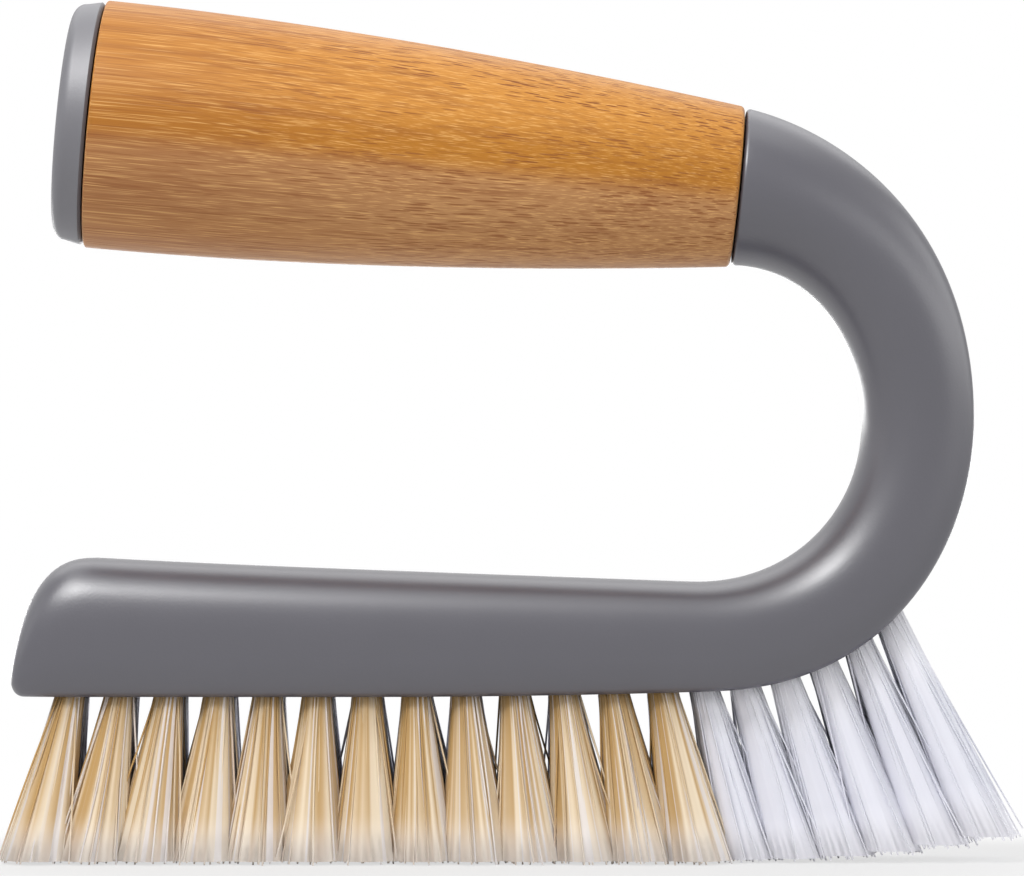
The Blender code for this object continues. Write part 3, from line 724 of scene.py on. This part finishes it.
def ring_points(outer, inner, half_width, land, side_fraction, roundness, block_share=0.0):
    """Return one closed ring of the body between its outer and inner points."""
    power = blend(ARM_SECTION_POWER, BLOCK_SECTION_POWER, block_share)
    half = section_points(half_width, land, side_fraction, power)
    count = 2 * len(half) - 1
    ring = []
    for i, (width, height) in enumerate(half):
        turn = 2 * math.pi * (i + 0.5) / count
        width = blend(width, math.sin(turn), roundness)
        height = blend(height, (1 - math.cos(turn)) / 2, roundness)
        ring.append((width * half_width, height))
    mirrored = [(-width, height) for width, height in reversed(ring[:-1])]
    return [outer.lerp(inner, height) + SIDEWAYS * width for width, height in ring + mirrored]


def toe_rings(block_half_width):
    """Return the rings of the rounded toe."""
    rings = []
    for turn in quarter_turns(TOE_RINGS):
        along = TOE_LENGTH * (1 - max(math.cos(turn), 0.0) ** TOE_SIDE_POWER)
        from_edge = max(TOE_EDGE_RADIUS - along, 0.0)
        lift = TOE_EDGE_RADIUS - math.sqrt(TOE_EDGE_RADIUS ** 2 - from_edge ** 2)
        width = blend(TOE_HALF_WIDTH, block_half_width, math.sin(turn) ** TOE_PLAN_POWER)
        top = blend(TOE_FACE_HEIGHT, BLOCK_DEPTH_AT_TOE, math.sin(turn) ** TOE_TOP_POWER)
        rings.append(ring_points(
            middle_point(along, lift), middle_point(along, top),
            width, width - LAND_EDGE_WIDTH, BLOCK_SIDE_FRACTION, 0.0, 1.0))
    return rings


def body_rings():
    """Return the rings of the moulding from the toe to the collar's face."""
    half_width = sizes().half_width
    outer_low, outer_high, inner_low, inner_high = side_curves()
    land = half_width - LAND_EDGE_WIDTH
    rings = toe_rings(half_width)
    toe_top = middle_point(TOE_LENGTH, BLOCK_DEPTH_AT_TOE)
    for i in range(1, BLOCK_RINGS):
        t = i / BLOCK_RINGS
        inner = toe_top.lerp(inner_low[0], t)
        inner.z -= TOP_SAG * (1 - (1 - t) ** TOP_SAG_POWER) * (1 - t)
        rings.append(ring_points(
            land_point(blend(TOE_LENGTH, BEND_START, t)), inner,
            half_width, land, BLOCK_SIDE_FRACTION, 0.0, 1.0))
    for i in range(BEND_RINGS + 1):
        t = i / BEND_RINGS
        share = ease(t)
        rings.append(ring_points(
            on_curve(outer_low, t), on_curve(inner_low, t),
            blend(half_width, ARM_HALF_WIDTH, share), blend(land, ARM_LAND_HALF_WIDTH, share),
            blend(BLOCK_SIDE_FRACTION, ARM_SIDE_FRACTION, share), 0.0,
            1.0 - ease(min(2 * t, 1.0))))
    for i in range(1, BEND_RINGS + 1):
        t = i / BEND_RINGS
        share = ease(t)
        rings.append(ring_points(
            on_curve(outer_high, t), on_curve(inner_high, t),
            blend(ARM_HALF_WIDTH, COLLAR_RADIUS, share), ARM_LAND_HALF_WIDTH,
            ARM_SIDE_FRACTION, share))
    edge = (COLLAR_RADIUS - COLLAR_ROUNDING, -COLLAR_ROUNDING)
    for radius, place in arc(edge, COLLAR_ROUNDING, 0.0, math.pi / 2)[1:]:
        centre = joint_point() + AXIS * place
        rings.append(ring_points(
            centre + UPWARD * radius, centre - UPWARD * radius, radius, radius / 2, 0.5, 1.0))
    return rings


def draw_spigot(bm, face):
    """Inset the collar's end face and draw the tapered spigot out of it."""
    bmesh.ops.inset_region(
        bm, faces=[face], thickness=COLLAR_RADIUS - COLLAR_ROUNDING - SPIGOT_RADIUS,
        use_even_offset=False)
    radius = SPIGOT_RADIUS
    reached = 0.0
    for next_radius, place in (
            (SPIGOT_TIP_RADIUS, SPIGOT_LENGTH - SPIGOT_CHAMFER),
            (SPIGOT_TIP_RADIUS - SPIGOT_CHAMFER, SPIGOT_LENGTH)):
        face = bmesh.ops.extrude_discrete_faces(bm, faces=[face])["faces"][0]
        share = next_radius / radius
        bmesh.ops.translate(bm, verts=face.verts[:], vec=AXIS * (place - reached))
        bmesh.ops.scale(
            bm, verts=face.verts[:], vec=(share, share, share),
            space=Matrix.Translation(-(joint_point() + AXIS * place)))
        radius = next_radius
        reached = place


def tuft_places():
    """Return the name, root and tip of every tuft."""
    size = sizes()
    places = []
    upright = TOE_X + FIRST_COLUMN + UPRIGHT_COLUMN * BLOCK_PITCH
    for column in range(BLOCK_COLUMNS):
        for row, side in BLOCK_ROWS:
            root = land_point(FIRST_COLUMN + column * BLOCK_PITCH)
            root.y = side * BLOCK_ROW_PITCH
            tip = Vector((
                upright + (column - UPRIGHT_COLUMN) * size.block_tip_pitch,
                side * size.block_tip_row_pitch, 0.0))
            places.append((f"block_tuft_{column + 1:02d}_{row}", root, tip))
    outer_low = side_curves()[0]
    last_tip = upright + (BLOCK_COLUMNS - 1 - UPRIGHT_COLUMN) * size.block_tip_pitch
    for column in range(BEND_COLUMNS):
        along = FIRST_BEND_COLUMN + column * BEND_PITCH
        past_start = along - BEND_START
        on_land = land_point(along) if past_start < 0.0 else along_curve(outer_low, past_start)
        for row, side in BEND_ROWS:
            share = column / (BEND_COLUMNS - 1)
            root = on_land + Vector((0.0, side * BEND_ROW_HALF_PITCH, 0.0))
            tip = Vector((
                last_tip + BEND_TIP_START + column * BEND_TIP_PITCH,
                side * BEND_TIP_ROW_HALF_PITCH, BEND_TIP_RISE * share ** 2))
            places.append((f"bend_tuft_{column + 1:02d}_{row}", root, tip))
    return places


def along_curve(points, distance):
    """Return the point at a distance along a cubic curve."""
    travelled = 0.0
    before = points[0]
    for i in range(1, CURVE_STEPS + 1):
        after = on_curve(points, i / CURVE_STEPS)
        step = (after - before).length
        if travelled + step >= distance:
            return before.lerp(after, (distance - travelled) / step)
        travelled += step
        before = after
    return before


def turned(outline, closed):
    """Spin an outline of (radius, height) points about the Z axis."""
    bm = bmesh.new()
    points = [bm.verts.new((radius, 0.0, height)) for radius, height in outline]
    edges = [bm.edges.new(pair) for pair in zip(points, points[1:])]
    if closed:
        edges.append(bm.edges.new((points[-1], points[0])))
    bmesh.ops.spin(
        bm, geom=points + edges, cent=(0, 0, 0), axis=(0, 0, 1),
        angle=2 * math.pi, steps=TURNED_SIDES, use_merge=True, use_duplicate=False)
    bmesh.ops.remove_doubles(bm, verts=bm.verts[:], dist=MERGE_DISTANCE)
    return bm


def arc(centre, radius, start, end):
    """Return points on a circular arc from angle start to end."""
    turns = [blend(start, end, i / ROUNDING_STEPS) for i in range(ROUNDING_STEPS + 1)]
    return [(centre[0] + radius * math.cos(a), centre[1] + radius * math.sin(a)) for a in turns]


def unit_disc(count, rng):
    """Return count points over a unit disc, closer together near its edge."""
    i = np.arange(count)
    radius = ((i + 0.5) / count) ** ROOT_DISC_POWER
    turn = i * GOLDEN_TURN + rng.uniform(0, 2 * math.pi)
    points = np.stack([radius * np.cos(turn), radius * np.sin(turn)], axis=1)
    points += rng.normal(0.0, ROOT_SCATTER, points.shape)
    length = np.linalg.norm(points, axis=1, keepdims=True)
    return points / np.maximum(length, 1.0)


def tuft_paths(root, tip, tip_radius, inner, outer, last):
    """Return paths as an array (path, step, 3) from root places to tip places on a disc."""
    way = np.array((tip - root).normalized())
    root, tip = np.array(root), np.array(tip)
    side = np.cross(SIDEWAYS, way)
    side /= -np.linalg.norm(side)
    across = np.cross(side, way)
    across *= math.copysign(1.0, across[1])
    side *= math.copysign(1.0, side[0])
    starts = root - way * ROOT_DEPTH
    starts = starts + sizes().root_radius * (inner[:, :1] * side + inner[:, 1:] * across)
    ends = tip + tip_radius * np.pad(outer, ((0, 0), (0, 1)))
    t = np.linspace(0.0, last, FILAMENT_STEPS + 1)[None, :, None]
    near, far = (starts - root)[:, None], (ends - tip)[:, None]
    return root * (1 - t) + tip * t + near + (far - near) * t ** FAN_POWER


def filament_paths(root, tip, tip_radius, count, rng):
    """Return the filament paths of one tuft and how far to the right each one stands."""
    disc = unit_disc(count, rng)
    spread = disc * (TIP_REACH + rng.normal(0.0, TIP_REACH_SCATTER, (count, 1)))
    spread += rng.normal(0, TIP_SCATTER, disc.shape)
    spread /= np.maximum(np.linalg.norm(spread, axis=1, keepdims=True), 1.0)
    paths = tuft_paths(root, tip, tip_radius, disc, spread, 1.0)
    t = np.linspace(0.0, 1.0, FILAMENT_STEPS + 1)[None, :, None]
    bow = rng.normal(0.0, BOW_SCATTER, (count, 1, 3))
    bow[:, :, 2] = 0.0
    paths += bow * np.sin(math.pi * t)
    stray = np.where(rng.uniform(0, 1, count) < STRAY_SHARE, rng.uniform(-1, 1, count), 0.0)
    paths[:, :, 0] += STRAY_REACH * stray[:, None] * t[:, :, 0]
    paths[:, :, 2] += np.abs(rng.normal(0.0, LENGTH_SCATTER, (count, 1))) * t[:, :, 0]
    return paths, disc[:, 0]


def bundle_paths(root, tip, tip_radius, rng):
    """Return the ridges and grooves of the closed bundle inside one tuft."""
    count = 2 * BUNDLE_FLUTES
    place = np.arange(count)
    turn = 2 * math.pi * (place + rng.uniform(-FLUTE_SCATTER, FLUTE_SCATTER, count)) / count
    radius = np.where(place % 2 == 0, BUNDLE_RIDGE, BUNDLE_GROOVE)
    radius = radius + rng.uniform(-BUNDLE_SCATTER, BUNDLE_SCATTER, count)
    disc = np.stack([np.cos(turn), np.sin(turn)], axis=1) * radius[:, None]
    return tuft_paths(root, tip, tip_radius, disc, disc, BUNDLE_END), disc[:, 0]


def filament_faces(steps):
    """Return the faces of one square filament."""
    one = np.arange(steps * FILAMENT_SIDES).reshape(steps, FILAMENT_SIDES)
    faces = [one[0, ::-1].tolist(), one[-1].tolist()]
    for s in range(steps - 1):
        for k in range(FILAMENT_SIDES):
            n = (k + 1) % FILAMENT_SIDES
            faces.append([one[s, k], one[s, n], one[s + 1, n], one[s + 1, k]])
    return np.array(faces)


def filament_verts(paths, radius):
    """Return the corners of square filaments round their paths."""
    ahead = np.gradient(paths, axis=1)
    ahead /= np.linalg.norm(ahead, axis=2, keepdims=True)
    side = np.cross(ahead, SIDEWAYS)
    side /= np.linalg.norm(side, axis=2, keepdims=True)
    across = np.cross(side, ahead)
    thick = radius * np.linspace(1.0, FILAMENT_TAPER, paths.shape[1])[None, :, None]
    corners = []
    for i in range(FILAMENT_SIDES):
        turn = 2 * math.pi * i / FILAMENT_SIDES
        corners.append(paths + thick * (math.cos(turn) * side + math.sin(turn) * across))
    return np.stack(corners, axis=2).reshape(-1, 3)


def bundle_faces(count, steps, first):
    """Return the faces of one bundle whose points run path by path, then its two ends."""
    faces = []
    for k in range(count):
        here, beside = first + k * steps, first + (k + 1) % count * steps
        for s in range(steps - 1):
            faces.append([here + s, beside + s, beside + s + 1, here + s + 1])
        faces.append([here, first + count * steps, beside])
        faces.append([here + steps - 1, beside + steps - 1, first + count * steps + 1])
    return faces


class Strands:
    """The points, faces and tones of the tufts in one row."""

    def __init__(self, rng):
        self.rng = rng
        self.verts, self.faces = [], []
        self.marks = {"tone": [], "kind": [], "lean": [], "reach": []}
        self.total = 0

    def mark(self, **values):
        """Note the tones of some points."""
        for label, part in values.items():
            self.marks[label].append(part)

    def add_filaments(self, paths, lean):
        """Add loose filaments along their paths."""
        count, steps = paths.shape[:2]
        each = steps * FILAMENT_SIDES
        self.verts.append(filament_verts(paths, sizes().filament_radius))
        faces = filament_faces(steps)[None] + (np.arange(count) * each)[:, None, None] + self.total
        self.faces += faces.reshape(-1, 4).tolist()
        self.mark(
            tone=np.repeat(self.rng.uniform(0, 1, count), each),
            kind=np.repeat(self.rng.uniform(0, 1, count), each),
            lean=np.repeat(lean, each),
            reach=np.tile(np.repeat(np.linspace(0, 1, steps), FILAMENT_SIDES), count))
        self.total += count * each

    def add_bundle(self, paths, lean):
        """Add the closed bundle that the loose filaments cover."""
        count, steps = paths.shape[:2]
        ends = paths[:, [0, -1]].mean(axis=0)
        self.verts += [paths.reshape(-1, 3), ends]
        self.faces += bundle_faces(count, steps, self.total)
        self.mark(
            tone=np.append(np.repeat(self.rng.uniform(0, 1, count), steps), BUNDLE_END_TONES),
            kind=np.append(np.repeat(self.rng.uniform(0, 1, count), steps), BUNDLE_END_KINDS),
            lean=np.append(np.repeat(lean, steps), (0.0, 0.0)),
            reach=np.append(np.tile(np.linspace(0, BUNDLE_END, steps), count), (0.0, 1.0)))
        self.total += count * steps + 2

    def build(self, name, material):
        """Make the row's mesh and its object."""
        mesh = bpy.data.meshes.new(name)
        mesh.from_pydata(np.concatenate(self.verts).tolist(), [], self.faces)
        for label, parts in self.marks.items():
            layer = mesh.attributes.new(label, "FLOAT", "POINT")
            layer.data.foreach_set("value", np.concatenate(parts).astype(np.float32))
        bm = bmesh.new()
        bm.from_mesh(mesh)
        return place_mesh(name, mesh, bm, material)


def make_row(part, row, material, slot, tip_radius, count, rng):
    """Build the tufts of one row on the block or the bend, as one piece."""
    strands = Strands(rng)
    names = []
    for name, root, tip in tuft_places():
        if name.startswith(part) and name.endswith(row):
            strands.add_filaments(*filament_paths(root, tip, tip_radius, count, rng))
            strands.add_bundle(*bundle_paths(root, tip, tip_radius, rng))
            names.append(name)
    if not names:
        raise RuntimeError(f"the {row} row on the {part} has no tufts")
    dress(strands.build(f"{part}_tufts_{row}", material), slot, *names)


class BRUSH_OT_moulding(bpy.types.Operator):
    """Loft the block, the arm and the collar, and draw out the spigot"""

    bl_idname = "brush.moulding"
    bl_label = "Moulding"

    def execute(self, context):
        bm = bmesh.new()
        loops = []
        for points in body_rings():
            verts = [bm.verts.new(point) for point in points]
            loops.append([bm.edges.new(pair) for pair in zip(verts, verts[1:] + verts[:1])])
        for first, second in zip(loops, loops[1:]):
            bmesh.ops.bridge_loops(bm, edges=first + second)
        bmesh.ops.contextual_create(bm, geom=loops[0])
        draw_spigot(bm, bmesh.ops.contextual_create(bm, geom=loops[-1])["faces"][0])
        finish = moulding_finish("satin_grey", colours().moulding, MOULDING_ROUGHNESS)
        item = finish_object("moulding", bm, finish)
        dress(item, "body_grey", "brush_body")
        return {"FINISHED"}


class BRUSH_OT_grip(bpy.types.Operator):
    """Turn the bamboo grip with its stepped bore"""

    bl_idname = "brush.grip"
    bl_label = "Bamboo grip"

    def execute(self, context):
        end = CLEARANCE + HANDLE_LENGTH
        first = CLEARANCE + HANDLE_JOINT_ROUNDING
        last = end - HANDLE_CAP_CHAMFER
        rim = handle_radius(first)
        outline = arc(
            (rim - HANDLE_JOINT_ROUNDING, first), HANDLE_JOINT_ROUNDING, -math.pi / 2, 0.0)
        for i in range(1, HANDLE_STEPS + 1):
            place = blend(first, last, i / HANDLE_STEPS)
            outline.append((handle_radius(place), place))
        outline += arc(
            (handle_radius(last) - HANDLE_CAP_CHAMFER, last), HANDLE_CAP_CHAMFER,
            HANDLE_CAP_ARC_START, math.pi / 2)
        outline += [
            (CAP_PLUG_RADIUS + CLEARANCE, end),
            (CAP_PLUG_RADIUS + CLEARANCE, COUNTERBORE_FLOOR),
            (SCREW_BORE, COUNTERBORE_FLOOR),
            (SCREW_BORE, SPIGOT_LENGTH + CLEARANCE),
            (SPIGOT_TIP_RADIUS + CLEARANCE, SPIGOT_LENGTH + CLEARANCE),
            (SPIGOT_RADIUS + CLEARANCE, CLEARANCE)]
        bm = turned(outline, True)
        grain = [Vector((v.co.z, v.co.x, v.co.y)) for v in bm.verts]
        bm.transform(joint_matrix())
        item = finish_object("grip", bm, bamboo_finish("turned_bamboo"))
        layer = item.data.attributes.new("grain", "FLOAT_VECTOR", "POINT")
        layer.data.foreach_set("vector", [part for v in grain for part in v])
        dress(item, "bamboo", "bamboo_handle")
        return {"FINISHED"}


class BRUSH_OT_cap(bpy.types.Operator):
    """Turn the end cap with its plug"""

    bl_idname = "brush.cap"
    bl_label = "End cap"

    def execute(self, context):
        rim = sizes().cap_radius
        start = CLEARANCE + HANDLE_LENGTH + CLEARANCE
        face = start + CAP_SIDE_LENGTH + CAP_CORNER_LENGTH
        plug_end = start - CAP_PLUG_LENGTH
        outline = [(0.0, plug_end)]
        outline += arc(
            (CAP_PLUG_RADIUS - CAP_PLUG_ROUNDING, plug_end + CAP_PLUG_ROUNDING),
            CAP_PLUG_ROUNDING, -math.pi / 2, 0.0)
        outline.append((CAP_PLUG_RADIUS, start))
        outline += [
            (rim - CAP_RIM_CHAMFER, start),
            (rim - CAP_RIM_EASE, start + CAP_RIM_CHAMFER - CAP_RIM_EASE),
            (rim, start + CAP_RIM_CHAMFER)]
        for turn in quarter_turns(2 * ROUNDING_STEPS):
            outline.append((
                rim - CAP_TAPER - CAP_CORNER_DEPTH * (1 - math.cos(turn)),
                face - CAP_CORNER_LENGTH * (1 - math.sin(turn))))
        outline.append((0.0, face))
        bm = turned(outline, False)
        bm.transform(joint_matrix())
        # The cap's grey is painted lighter than the moulding's, as if it caught more light.
        finish = moulding_finish("satin_cap_painted_lighter", colours().cap, CAP_ROUGHNESS)
        item = finish_object("cap", bm, finish, CAP_SMOOTH_DEGREES)
        dress(item, "cap_grey", "end_cap")
        return {"FINISHED"}


class BRUSH_OT_fixings(bpy.types.Operator):
    """Finish the screw and the washer that the cap hides"""

    bl_idname = "brush.fixings"
    bl_label = "Screw and washer"

    def execute(self, context):
        finish = steel_finish("plain_steel")
        for name in ("handle_screw", "screw_washer"):
            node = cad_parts[name]
            node.data.materials.clear()
            node.data.materials.append(finish)
        return {"FINISHED"}


class BRUSH_OT_block_tufts(bpy.types.Operator):
    """Fill the three rows of tufts on the flat of the block"""

    bl_idname = "brush.block_tufts"
    bl_label = "Tufts on the block"

    def execute(self, context):
        size = sizes()
        rng = np.random.default_rng(SEED)
        for row, *look, slot in ROW_LOOKS:
            finish = bristle_finish(f"{row}_filaments", *look)
            make_row(
                "block", row, finish, slot, size.block_tip_radius, size.block_filaments, rng)
        return {"FINISHED"}


class BRUSH_OT_bend_tufts(bpy.types.Operator):
    """Fill the two rows of tufts on the bend"""

    bl_idname = "brush.bend_tufts"
    bl_label = "Tufts on the bend"

    def execute(self, context):
        size = sizes()
        rng = np.random.default_rng(SEED + 1)
        for row, _side in BEND_ROWS:
            finish = bristle_finish(f"bend_{row}_filaments", *BEND_LOOK)
            make_row(
                "bend", row, finish, "white_bristle", size.bend_tip_radius,
                size.bend_filaments, rng)
        return {"FINISHED"}


def sees(finish, kind):
    """Return 1 for one kind of ray."""
    return finish.node("ShaderNodeLightPath", {}, None, f"Is {kind} Ray")


def sees_backdrop(finish):
    """Return 1 for the camera, mirrors and clear pieces, which see the white backdrop."""
    rays = [sees(finish, kind) for kind in ("Camera", "Glossy", "Transmission")]
    return (rays[0] + rays[1] + rays[2]).clamped()


def area_light(name, way, distance, width, height, power):
    """Add one soft box in a direction from the object's middle, aimed at it."""
    data = bpy.data.lights.new(name, "AREA")
    data.shape = "RECTANGLE"
    data.size = width
    data.size_y = height
    data.energy = power
    lamp = bpy.data.objects.new(name, data)
    toward = Vector(way).normalized()
    lamp.location = Vector(OBJECT_MIDDLE) + toward * distance
    lamp.rotation_euler = toward.to_track_quat("Z", "Y").to_euler()
    bpy.context.scene.collection.objects.link(lamp)


def floor_finish():
    """Pale floor that keeps the shadow near the brush and turns white further off."""
    finish = Finish("pale_floor", Roughness=0.75, Specular_IOR_Level=0.2)
    finish.put("Base Color", finish.mix(sees(finish, "Camera"), FLOOR_LIT, FLOOR_SEEN))
    spot = finish.scale(finish.place(), FLOOR_STRETCH)
    length = finish.node("ShaderNodeVectorMath", {"operation": "LENGTH"}, [spot], "Value")
    far = FLOOR_VEIL + finish.between(length, *FLOOR_FADE) * (1.0 - FLOOR_VEIL)
    glow = finish.node("ShaderNodeEmission", {}, [opaque(WHITE), 1.0])
    surface = finish.node(
        "ShaderNodeMixShader", {},
        [far * sees_backdrop(finish), Wire(finish, finish.shader.outputs[0]), glow])
    finish.feed(finish.tree.nodes["Material Output"].inputs["Surface"], surface)
    return finish.material


def world_finish(world):
    """Soft even light that shows as plain white to the camera."""
    world.use_nodes = True
    finish = Finish.__new__(Finish)
    finish.tree = world.node_tree
    lit = finish.node("ShaderNodeBackground", {}, [opaque(WORLD_LIGHT), WORLD_LEVEL])
    white = finish.node("ShaderNodeBackground", {}, [opaque(WHITE), 1.0])
    surface = finish.node("ShaderNodeMixShader", {}, [sees_backdrop(finish), lit, white])
    output = next(n for n in finish.tree.nodes if n.bl_idname == "ShaderNodeOutputWorld")
    finish.feed(output.inputs["Surface"], surface)


class BRUSH_OT_stage(bpy.types.Operator):
    """Set the floor, the soft light and the camera"""

    bl_idname = "brush.stage"
    bl_label = "Stage"

    def execute(self, context):
        scene = context.scene
        scene.view_settings.view_transform = "Standard"
        bm = bmesh.new()
        bmesh.ops.create_grid(bm, x_segments=1, y_segments=1, size=FLOOR_HALF_WIDTH)
        floor = finish_object("floor", bm, floor_finish())
        world = scene.world or bpy.data.worlds.new("studio")
        scene.world = world
        world_finish(world)
        for box in SOFT_BOXES:
            area_light(*box)
        self.add_camera(scene)
        return {"FINISHED"}

    @staticmethod
    def add_camera(scene):
        """Place the camera level, at the photograph's distance and height."""
        view_width = IMAGE_WIDTH * MILLIMETRE_PER_PIXEL / 1000.0
        data = bpy.data.cameras.new("camera")
        data.sensor_width = SENSOR
        data.lens = SENSOR * CAMERA_DISTANCE / view_width
        data.clip_start = NEAREST_SEEN
        camera = bpy.data.objects.new("camera", data)
        camera.location = (TOE_X + CAMERA_FROM_TOE, -CAMERA_DISTANCE, CAMERA_HEIGHT)
        camera.rotation_euler = (math.pi / 2, 0.0, 0.0)
        scene.collection.objects.link(camera)
        scene.camera = camera


class BRUSH_PT_panel(bpy.types.Panel):
    """Lists the sizes, the colours and the building steps"""

    bl_idname = "BRUSH_PT_panel"
    bl_label = "Grout brush"
    bl_space_type = "VIEW_3D"
    bl_region_type = "UI"
    bl_category = "Grout brush"

    def draw(self, context):
        layout = self.layout
        for group in (context.scene.brush_sizes, context.scene.brush_colours):
            box = layout.box()
            for key in group.bl_rna.properties.keys():
                if key not in {"rna_type", "name"}:
                    box.prop(group, key)
        for step in STEPS:
            layout.operator(step.bl_idname)


STEPS = (
    BRUSH_OT_stage, BRUSH_OT_moulding, BRUSH_OT_grip, BRUSH_OT_cap, BRUSH_OT_fixings,
    BRUSH_OT_block_tufts, BRUSH_OT_bend_tufts)
CLASSES = (BrushSizes, BrushColours, *STEPS, BRUSH_PT_panel)


def register():
    """Register the classes and hang the settings on the scene."""
    for item in CLASSES:
        bpy.utils.register_class(item)
    bpy.types.Scene.brush_sizes = bpy.props.PointerProperty(type=BrushSizes)
    bpy.types.Scene.brush_colours = bpy.props.PointerProperty(type=BrushColours)


def unregister():
    """Take the settings and the classes away again."""
    del bpy.types.Scene.brush_colours
    del bpy.types.Scene.brush_sizes
    for item in reversed(CLASSES):
        bpy.utils.unregister_class(item)


def main():
    """Register and build every piece in order."""
    register()
    bpy.ops.brush.stage()
    bpy.ops.brush.moulding()
    bpy.ops.brush.grip()
    bpy.ops.brush.cap()
    bpy.ops.brush.fixings()
    bpy.ops.brush.block_tufts()
    bpy.ops.brush.bend_tufts()


if __name__ == "__main__":
    main()
